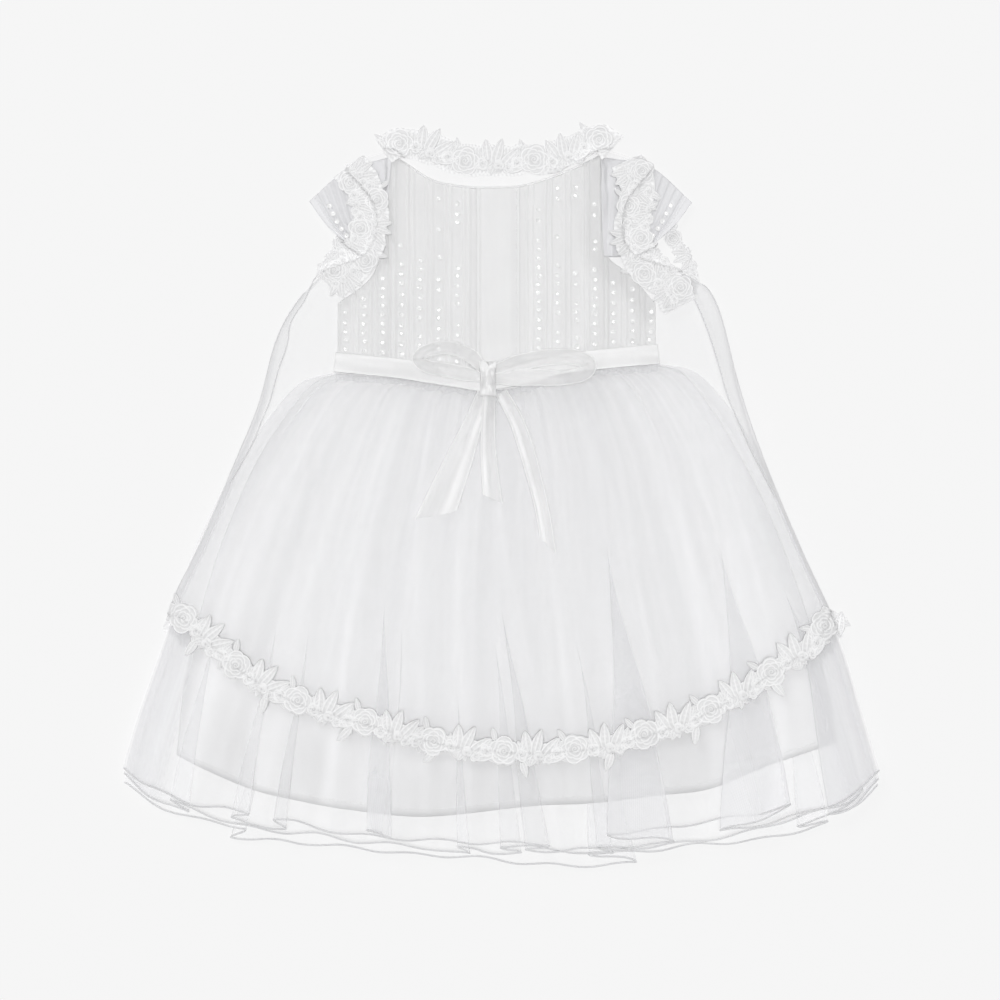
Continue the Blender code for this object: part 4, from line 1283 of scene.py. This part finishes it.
def make_overlay(side):
    """One panel of the robe. The near one is uneven, has its sides turned over and settles towards its hem."""
    far = side == "FAR"
    name, node = ("overlay_robe_back", "overlay_far") if far else ("overlay_robe_front", "overlay_near")
    rows, columns = (80, 80) if far else (180, 220)
    v, u = grid_shares(rows, columns)
    plan = patch(OVERLAY_BACK_TOP if far else OVERLAY_TOP, OVERLAY_HEM, OVERLAY_LEFT, OVERLAY_RIGHT, v, u)
    z = Form(node).centre(plan, 5)
    density = np.ones(plan.shape[:2])
    tone = density * REST
    if not far:
        x, y = on_table(plan)
        wide = noise2(x / 34 + y / 160, y / 90, 51) * 0.6 + noise2(x / 13 + y / 90, y / 60, 52) * 0.22
        z = z + wide * MM * smooth((250 - y) / 60)
        for row in OVERLAY_CREASES:
            near = crease(plan, row, 5.0)
            z = z + near * 0.7 * MM
            density = density + near * 0.25
        for line, way in ((TURNED_LEFT, -1), (TURNED_RIGHT, 1)):
            # The turned-over bands lie denser as doubled cloth, and their colour is painted darker as shade.
            turned = turned_over(x, y, line, way)
            density = density + 2.6 * turned
            tone = tone - 0.25 * turned
            z = z + crease(plan, line, 4.0) * 0.8 * MM
        settled = smooth((v - 0.62) / 0.22)
        z = z * (1 - settled) + np.minimum(z, PILE.even(plan, 6) + 1.2 * MM) * settled
    low = smooth((v - 0.45) / 0.2)
    # The outermost edges, where the robe folds under, lie denser and their colour is painted darker as the shade of
    # the fold.
    sides = smooth((0.012 - np.minimum(u, 1 - u)) / 0.01)
    density = density + (3 + 4 * low) * sides
    tone = tone - 0.3 * sides
    points = PILE.clear(np.dstack([plan, np.maximum(z, 0.3 * MM)]))
    cloth(name, points, "overlay organza", [node], density=density, tone=tone,
          rests_on=["table"] if far else ["skirt_net_outer", "bodice_tucked_panel"])
    if far:
        return
    for column, hand, inner in ((0, "left", TURNED_LEFT), (-1, "right", TURNED_RIGHT)):
        outer = points[int(rows * SEAM_START):, column]
        turned = curve(inner, 90)
        lines = [outer, np.column_stack([turned, PILE.read(turned) + 0.2 * MM])]
        sewn_cords(f"overlay_side_seam_{hand}", lines, SEAM_CORD, "hem cord", name)


# Lace

def leaf(width, length, rows=12, columns=11):
    """A pointed leaf from the origin towards +Y: a corded outline, a midrib and slanted veins."""
    b, a = np.linspace(0, 1, rows)[:, None], np.linspace(-1, 1, columns)[None, :]
    half = width / 2 * (np.sin(np.pi * (0.06 + 0.94 * b) ** 0.8) ** 0.7 + 0.03)
    x = a * half + 0.05 * length * b ** 2
    y = length * b - 0.08 * length * np.abs(a) * (1 - b)
    veins = 0.5 + 0.5 * np.cos(2 * np.pi * (b * 5 - np.abs(a) * 0.9))
    cord = bump((np.abs(a) - 0.8) / 0.22)
    height = np.clip(cord + bump(a / 0.22) + 0.45 * veins * (np.abs(a) < 0.7), 0, 1)
    z = (0.1 + 0.75 * height) * MM * (np.abs(a) < 0.99)
    return np.dstack([x, y, z]), np.dstack([y + 0 * x, x * 1.5 + 0.35 * y]), height * (np.abs(a) < 0.99)


def rose(radius, lobes=5, rings=24, spokes=52):
    """A flat embroidered rose: rings of petals with corded rims that step up to a coiled heart."""
    share = np.linspace(0.02, 1, rings)[:, None]
    a = np.linspace(0, 2 * np.pi, spokes + 1)[None, :]

    def rim(size, count, turn):
        return size * radius * (0.82 + 0.18 * np.abs(np.cos(count * (a - turn) / 2)) ** 0.6)

    r = share * rim(1.0, lobes, 0)
    z, height = 0.1 + 0 * r, 0.15 + 0 * r
    for size, count, turn in ((1.0, lobes, 0), (0.76, 5, 0.6), (0.54, 4, 0.2), (0.34, 3, 0.9)):
        border = rim(size, count, turn) + 0.5 * MM * np.sin(a - turn)
        cord = bump((r - border + 0.9 * MM) / (0.95 * MM))
        gap = bump(np.abs(np.cos(count * (a - turn) / 2)) / 0.2) * smooth((r / border - 0.6) / 0.2) * (r < border)
        z = z + 0.2 * smooth((border - r) / (0.7 * MM)) + 0.5 * cord - 0.3 * gap
        # The height that colours the stitches also holds a painted shade: a dark groove just inside each corded rim,
        # which the surface does not have.
        height = height + 0.85 * cord - 0.3 * gap - 0.12 * bump((r - border + 2.1 * MM) / MM)
    coil = 0.5 + 0.5 * np.cos(2 * np.pi * r / (1.7 * MM) - a)
    heart = smooth((0.28 * radius - r) / (0.4 * MM))
    z = z + 0.35 * coil * heart
    height = np.clip(height * (1 - heart) + coil * heart, 0, 1)
    return np.dstack([r * np.cos(a), r * np.sin(a), z * MM]), np.dstack([r + 0 * a, a * 6 * MM + 0 * r]), height


def assemble(name, sheets):
    """Join grids, each with a turn about Z and a shift, into one motif."""
    verts, uvs, faces, heights = [], [], [], []
    total = 0
    for (points, uv, height), turn, shift in sheets:
        rows, columns = points.shape[:2]
        c, s = math.cos(turn), math.sin(turn)
        p = points.reshape(-1, 3)
        heights.append(height.ravel())
        verts.append(np.column_stack([c * p[:, 0] - s * p[:, 1], s * p[:, 0] + c * p[:, 1], p[:, 2]]) + shift)
        uvs.append(uv.reshape(-1, 2))
        quads = grid_faces(rows, columns, total)
        first, second = points[0, 1] - points[0, 0], points[1, 0] - points[0, 0]
        faces.append(quads if first[0] * second[1] - first[1] * second[0] < 0 else quads[:, ::-1])
        total += rows * columns
    return mesh_object(name, np.vstack(verts), np.vstack(faces), np.vstack(uvs), tone=np.concatenate(heights))


# The spray's leaves: turn, place across and length in mm
SPRAY = ((0.62, -6.5, 11.5), (0.18, -2.6, 14), (-0.26, 2.2, 14.5), (-0.75, 6.2, 12))


def motif(kind):
    """One of the lace's motifs about the origin: a rose, a small rosette, a leaf tip, a half-open bud between two
    small leaves, or a spray of four veined leaves that lean one way."""
    if kind == "rose":
        sheets = [(rose(10.8 * MM), 0.0, (0, 0, 0.35 * MM))]
    elif kind == "rosette":
        sheets = [(rose(5.2 * MM, 4, 14, 32), 0.0, (0, 0, 0.2 * MM))]
    elif kind == "tip":
        sheets = [(leaf(5.6 * MM, 11 * MM), 0.0, (0, 0, 0.1 * MM))]
    elif kind == "bud":
        sheets = [(leaf(4.2 * MM, 8 * MM), turn, (0, -2 * MM, 0.1 * MM)) for turn in (-0.7, 0.7)]
        sheets.append((leaf(5.6 * MM, 8.5 * MM), 0.0, (0, -1.5 * MM, 0.35 * MM)))
    else:
        sheets = [(leaf(6.4 * MM, length * MM), turn, (x * MM, -1 * MM, (0.15 + 0.12 * (k % 2)) * MM))
                  for k, (turn, x, length) in enumerate(SPRAY)]
        sheets.append((rose(3.6 * MM, 3, 10, 24), 0.0, (0, -1.5 * MM, 0.5 * MM)))
    return assemble(f"{kind}_motif", sheets)


def lace_ground(name, path, side, low, high, seed):
    """The stitched ground that joins the motifs, with a wavy edge on both sides."""
    t = np.linspace(0, 1, len(path))
    length = np.linalg.norm(np.diff(path, axis=0), axis=1).sum()
    s = np.linspace(0, 1, 17)[None, :]
    right = (low + 1.3 * MM * noise(t * length / (5.5 * MM), seed))[:, None]
    left = (high + 1.3 * MM * noise(t * length / (5 * MM), seed + 1))[:, None]
    across = -right * (1 - s) + left * s
    plan = path[:, None] + side[:, None] * across[..., None]
    run = t[:, None] * length
    ripple = np.cos(2 * np.pi * run / (2.8 * MM) + 3 * np.sin(across / (2.2 * MM))) * np.cos(across / (0.9 * MM))
    cord = bump((s - 0.05) / 0.08) + bump((s - 0.95) / 0.08) + 0 * run
    height = np.clip(0.35 + 0.5 * ripple + 0.4 * cord, 0, 1)
    points = np.dstack([plan, 0.15 * MM + 0.5 * MM * height])
    uv = np.dstack([across, run + 0 * across])
    return assemble(name, [((points, uv, height), 0.0, (0, 0, 0))])


def lace_trim(which, key, pitch, size, seed, carrier, side_in=1, edge=0.0, tips=65 * MM, ground=(8.5, 8.0),
              rows=(0,)):
    """A trim along a path: roses and leaf sprays by turns on a stitched ground, with rosettes and buds between
    them and leaf tips that hang from the outer edge. side_in is 1 where the sprays point to the left of the path.
    A wide trim has two rows of them, so many mm from its middle line. The ground reaches so many mm to its two
    sides, and edge shifts the whole trim to the path's left."""
    name, node = f"lace_trim_{which}", f"lace_{key}"
    random = np.random.default_rng(seed)
    path = curve(LACE_PATHS[key], 420)
    way, side = along(path)
    path = path + side * edge * MM
    run = distances(path)
    count = max(2, round(run[-1] / pitch))
    step = run[-1] / count
    found = {"rose": [], "leaves": [], "tip": [], "bud": [], "rosette": []}

    def add(kind, distance, off, turn, scale, lift):
        place = [np.interp(distance, run, path[:, axis]) for axis in (0, 1)]
        direction = np.array([np.interp(distance, run, way[:, axis]) for axis in (0, 1)])
        heading = math.atan2(direction[1], direction[0])
        normal = np.array([-math.sin(heading), math.cos(heading)]) * side_in
        inward = heading + (0 if side_in > 0 else math.pi)
        place = place + normal * off * size * MM
        found[kind].append(((*place, lift * MM), (0, 0, inward + turn * side_in), scale * size))

    spray_size = 1.25 if len(rows) == 1 else 1.0
    for k, (number, row) in itertools.product(range(count), enumerate(rows)):
        middle = (k + 0.5) * step
        wobble = random.uniform(-0.15, 0.15, 8)
        if (k + number) % 2 == 0:
            add("rose", middle, row - 0.5 + 4 * wobble[0], random.uniform(0, 6.28), 1 + 0.3 * wobble[1], 0.35)
            add("tip", middle - 7 * MM, row + 7, 0.5 + wobble[2], 0.75, 0.15)
        else:
            add("leaves", middle, row - 2, -0.35 + wobble[0], spray_size + 0.3 * wobble[1], 0.3)
            add("bud", middle - 4 * MM, row - 4.5, math.pi - 0.5 + wobble[2], 0.95, 0.15)
            add("rosette", middle + 6 * MM, row - 5.5, random.uniform(0, 6.28), 0.85, 0.25)
        if k < count - 1:
            add("rosette", (k + 1) * step, row - 2.5 + 8 * wobble[3], random.uniform(0, 6.28), 1.0, 0.25)
            add("bud", (k + 1) * step, row + 2.5, -0.3 + 2 * wobble[4], 0.85, 0.1)
            add("tip", (k + 1) * step + 2 * MM, row - 5.5, math.pi + 0.9 + 2 * wobble[5], 0.6, 0.1)
    for distance in np.arange(tips / 2, run[-1], tips) if tips else ():
        add("tip", distance, -8, math.pi + random.uniform(-0.5, 0.5), random.uniform(0.95, 1.15), 0.15)
    low, high = (reach * size * MM for reach in ground)
    parts = [lace_ground(name + ".ground", path, side * side_in, low, high, seed)]
    for kind, copies in found.items():
        if copies:
            shape = motif(kind)
            parts.append(scatter(f"{name}.{kind}", shape, *zip(*copies), "lace thread"))
            bpy.data.objects.remove(shape)
    made = join(name, parts)
    mesh = made.data
    local = np.zeros(len(mesh.vertices) * 3)
    mesh.vertices.foreach_get("co", local)
    local = local.reshape(-1, 3)
    ground = Form(node).read(local[:, None, :2], -1)[:, 0]
    pile = PILE.even(local[:, None, :2], 2)[:, 0]
    highest = PILE.read(local[:, None, :2])[:, 0]
    local[:, 2] = np.maximum(np.clip(ground, pile, pile + 0.3 * MM), highest) + 0.15 * MM + 0.6 * local[:, 2]
    mesh.vertices.foreach_set("co", local.ravel())
    mesh.update()
    finish_piece(made, "lace thread", [node])
    goes_with(made, carrier)


def make_lace(side):
    pitch = sizes().lace_pitch
    if side == "FAR":
        back = {"carrier": "overlay_robe_back", "tips": 0}
        lace_trim("hem_back", "hem_far", pitch * 1.5, size=1.1, seed=61, edge=-7, **back)
        lace_trim("armhole_right_back", "armhole_right_far", 19 * MM, size=0.65, seed=62, side_in=-1, **back)
        lace_trim("armhole_left_back", "armhole_left_far", 19 * MM, size=0.65, seed=63, **back)
        return
    lace_trim("hem_front", "hem_near", pitch, size=1.08, seed=71, carrier="overlay_robe_front", ground=(5.5, 5.5))
    for hand, seed, side_in in (("left", 72, 1), ("right", 73, -1)):
        key = f"armhole_{hand}"
        lace_trim(key, key, pitch * 0.85, size=0.9, seed=seed, carrier="overlay_robe_front", side_in=side_in,
                  tips=50 * MM, ground=(14, 15), rows=(-7, 7))
    lace_trim("neck", "neck", pitch * 0.9, size=1.05, seed=74, carrier="overlay_robe_back", tips=0,
              ground=(11, 10.5))


# The table, the light and the camera

TABLE_HALF = 3.0
# Sun lamps: name, angle of the sun's disc and the tilts about X and Y, in degrees
LAMPS = (("window", 25, -38, -34), ("overhead", 12, 0, 0))


def make_stage():
    """The pale table, the light, and how light passes through the many sheer layers."""
    half = TABLE_HALF
    floor = mesh_object("table", [(-half, -half, 0), (half, -half, 0), (half, half, 0), (-half, half, 0)],
                        [(0, 1, 2, 3)], [(0, 0), (1, 0), (1, 1), (0, 1)])
    floor.location.z = -0.2 * MM
    floor.data.materials.append(MATERIALS["pale table"])
    world = bpy.data.worlds.new("studio")
    bpy.context.scene.world = world
    world.use_nodes = True
    sky = world.node_tree.nodes["Background"]
    sky.inputs["Color"].default_value = (1, 1, 1, 1)
    sky.inputs["Strength"].default_value = light().sky
    for name, disc, tilt_x, tilt_y in LAMPS:
        lamp = bpy.data.lights.new(name, "SUN")
        lamp.energy = getattr(light(), name)
        lamp.angle = math.radians(disc)
        made = bpy.data.objects.new(name, lamp)
        made.rotation_euler = (math.radians(tilt_x), math.radians(tilt_y), 0)
        bpy.context.scene.collection.objects.link(made)
    scene = bpy.context.scene
    scene.view_settings.view_transform = "Standard"
    scene.view_settings.look = "None"
    scene.cycles.transparent_max_bounces = 24
    scene.cycles.max_bounces = 8
    scene.cycles.diffuse_bounces = 4


# The camera's distance from the skirt, the skirt's height over the table, the width that the picture takes in at
# that height, and how far the picture's middle lies below that of the outlines
CAMERA_DISTANCE = 2.6
SKIRT_HEIGHT = 8 * MM
FRAME_WIDTH = 750 * MM
FRAME_DROP = 4.5 * MM


def make_camera():
    """A camera straight above the dress."""
    lens = bpy.data.cameras.new("camera")
    lens.sensor_width = 36
    lens.lens = lens.sensor_width * CAMERA_DISTANCE / FRAME_WIDTH
    camera = bpy.data.objects.new("camera", lens)
    camera.location = (SHIFT[0], SHIFT[1] - FRAME_DROP, CAMERA_DISTANCE + SKIRT_HEIGHT)
    bpy.context.scene.collection.objects.link(camera)
    bpy.context.scene.camera = camera


def declare_sheets():
    """Take from each cloth the list of pieces sewn to it and look them up, once everything is made."""
    for name, facts in SHEETS.items():
        with_pieces = [bpy.data.objects[piece] for piece in facts.pop("with_pieces")]


def length(name, description, millimetres):
    return FloatProperty(name=name, description=description, default=millimetres * MM, unit="LENGTH")


def share(name, description, default):
    return FloatProperty(name=name, description=description, default=default, subtype="FACTOR")


def colour(name, description, *default):
    return FloatVectorProperty(name=name, description=description, default=default, subtype="COLOR")


class DressSizes(bpy.types.PropertyGroup):
    """Sizes of the fine work."""
    net_pitch: length("Net mesh", "Size of one hole of the tulle", 1.1)
    hem_cord: length("Hem cord", "Thickness of the nets' rolled hem", 1.3)
    lace_pitch: length("Lace pitch", "Distance from a rose to the next leaf spray", 27)
    sequin_size: length("Sequin", "Width of a sequin", 4)
    sequin_pitch: length("Sequin pitch", "Distance from one sequin to the next", 7)
    tulle_opacity: share("Tulle cover", "Share of light that one flat layer stops", 0.11)
    organza_opacity: share("Organza cover", "Share of light that one flat layer stops", 0.12)
    ribbon_opacity: share("Ribbon cover", "Share of light that the ribbon stops", 0.48)


class DressColours(bpy.types.PropertyGroup):
    """Colours of the cloths."""
    tulle: colour("Tulle", "Colour of the net's threads", 0.89, 0.89, 0.905)
    organza: colour("Organza", "Colour of the overlay's threads", 0.82, 0.82, 0.835)
    ribbon: colour("Ribbon", "Colour of the bow's sheer ribbon", 0.96, 0.96, 0.96)
    belt: colour("Belt", "Colour of the sash's close-woven band and the knot", 0.92, 0.92, 0.92)
    bodice: colour("Bodice", "Colour of the tucked cloth", 0.83, 0.83, 0.83)
    # The sleeves' colour is painted darker than the bodice's, for the shade under the armhole lace.
    sleeve: colour("Sleeves", "Colour of the sleeves' cloth", 0.73, 0.73, 0.745)
    lining: colour("Lining", "Colour of the petticoat", 0.88, 0.88, 0.885)
    lace: colour("Lace", "Colour of the guipure's thread", 0.85, 0.85, 0.855)
    cord: colour("Cords", "Colour of rolled hems and seams", 0.70, 0.70, 0.71)
    sequin: colour("Sequins", "Colour of the sequins", 0.94, 0.94, 0.94)
    table: colour("Table", "Colour of the lit surface", 0.26, 0.26, 0.26)


class DressLight(bpy.types.PropertyGroup):
    """The light on the table."""
    sky: FloatProperty(name="Sky", description="Strength of the light from all round", default=0.3)
    window: FloatProperty(name="Window", description="Strength of the light from one side", default=0.5)
    overhead: FloatProperty(name="Overhead", description="Strength of the light from straight above", default=1.9)
    table_glow: FloatProperty(name="Table glow", description="Light that the table gives off", default=0.654)


SIDES = [("FAR", "Far", "The side that lies on the table"), ("NEAR", "Near", "The side that shows")]


class Step:
    """What the steps share: each can be redone and undone."""
    bl_options = {"REGISTER", "UNDO"}


class SideStep(Step):
    """A step that makes one side of the dress."""
    side: EnumProperty(name="Side", description="Which side of the dress to make", items=SIDES)


class DRESS_OT_stage(Step, bpy.types.Operator):
    """Make the lit table, the light and the camera straight above the dress"""
    bl_idname = "dress.stage"
    bl_label = "Table, light and camera"

    def execute(self, context):
        make_stage()
        make_camera()
        return {"FINISHED"}


class DRESS_OT_overlay(SideStep, bpy.types.Operator):
    """Lay one side of the sheer overlay robe"""
    bl_idname = "dress.overlay"
    bl_label = "Overlay robe"

    def execute(self, context):
        make_overlay(self.side)
        return {"FINISHED"}


class DRESS_OT_lace(SideStep, bpy.types.Operator):
    """Lay the guipure trims of one side"""
    bl_idname = "dress.lace"
    bl_label = "Guipure lace"

    def execute(self, context):
        make_lace(self.side)
        return {"FINISHED"}


class DRESS_OT_sleeves(SideStep, bpy.types.Operator):
    """Lay one side of the two cap sleeves"""
    bl_idname = "dress.sleeves"
    bl_label = "Cap sleeves"

    def execute(self, context):
        make_sleeves(self.side)
        return {"FINISHED"}


class DRESS_OT_sash(SideStep, bpy.types.Operator):
    """Lay one side of the ribbon sash, the near one with its bow"""
    bl_idname = "dress.sash"
    bl_label = "Sash and bow"

    def execute(self, context):
        make_sash(self.side)
        return {"FINISHED"}


class DRESS_OT_bodice(SideStep, bpy.types.Operator):
    """Lay one side of the bodice, the near one with its tucks and placket"""
    bl_idname = "dress.bodice"
    bl_label = "Bodice"

    def execute(self, context):
        make_bodice(self.side)
        return {"FINISHED"}


class DRESS_OT_skirt(SideStep, bpy.types.Operator):
    """Lay the gathered nets of one side with their rolled hems"""
    bl_idname = "dress.skirt"
    bl_label = "Tulle skirt"

    def execute(self, context):
        make_skirt(self.side)
        return {"FINISHED"}


class DRESS_OT_lining(SideStep, bpy.types.Operator):
    """Lay one side of the satin petticoat"""
    bl_idname = "dress.lining"
    bl_label = "Petticoat"

    def execute(self, context):
        make_lining(self.side)
        return {"FINISHED"}


class DRESS_OT_sequins(Step, bpy.types.Operator):
    """Sew the sequins on between the tucks"""
    bl_idname = "dress.sequins"
    bl_label = "Sequins"

    def execute(self, context):
        make_sequins()
        return {"FINISHED"}


class DRESS_OT_sheets(Step, bpy.types.Operator):
    """Look up the pieces sewn to each cloth once all of them are made"""
    bl_idname = "dress.sheets"
    bl_label = "Cuts of cloth"

    def execute(self, context):
        declare_sheets()
        return {"FINISHED"}


class DRESS_PT_panel(bpy.types.Panel):
    """The dress's sizes, colours, light and steps"""
    bl_label = "Tulle dress"
    bl_idname = "DRESS_PT_panel"
    bl_space_type = "VIEW_3D"
    bl_region_type = "UI"
    bl_category = "Dress"

    def draw(self, context):
        for group in (sizes(), colours(), light()):
            for name in group.__annotations__:
                self.layout.prop(group, name)
        for step in STEPS:
            self.layout.operator(step.bl_idname)


STEPS = [DRESS_OT_stage, DRESS_OT_overlay, DRESS_OT_lace, DRESS_OT_sleeves, DRESS_OT_sash, DRESS_OT_bodice,
         DRESS_OT_skirt, DRESS_OT_lining, DRESS_OT_sequins, DRESS_OT_sheets]
CLASSES = [DressSizes, DressColours, DressLight, *STEPS, DRESS_PT_panel]


def register():
    for made in CLASSES:
        bpy.utils.register_class(made)
    bpy.types.Scene.dress_sizes = PointerProperty(type=DressSizes)
    bpy.types.Scene.dress_colours = PointerProperty(type=DressColours)
    bpy.types.Scene.dress_light = PointerProperty(type=DressLight)


def unregister():
    del bpy.types.Scene.dress_sizes
    del bpy.types.Scene.dress_colours
    del bpy.types.Scene.dress_light
    for made in reversed(CLASSES):
        bpy.utils.unregister_class(made)


TREES = {}


def main():
    register()
    make_materials()
    TREES.update(scatter=scatter_tree(), cord=cord_tree())
    bpy.ops.dress.stage()
    bpy.ops.dress.overlay(side="FAR")
    bpy.ops.dress.lace(side="FAR")
    bpy.ops.dress.sleeves(side="FAR")
    bpy.ops.dress.sash(side="FAR")
    bpy.ops.dress.bodice(side="FAR")
    bpy.ops.dress.skirt(side="FAR")
    bpy.ops.dress.lining(side="FAR")
    bpy.ops.dress.bodice(side="NEAR")
    bpy.ops.dress.lining(side="NEAR")
    bpy.ops.dress.skirt(side="NEAR")
    bpy.ops.dress.sleeves(side="NEAR")
    bpy.ops.dress.sequins()
    bpy.ops.dress.sash(side="NEAR")
    bpy.ops.dress.overlay(side="NEAR")
    bpy.ops.dress.lace(side="NEAR")
    bpy.ops.dress.sheets()


if __name__ == "__main__":
    main()
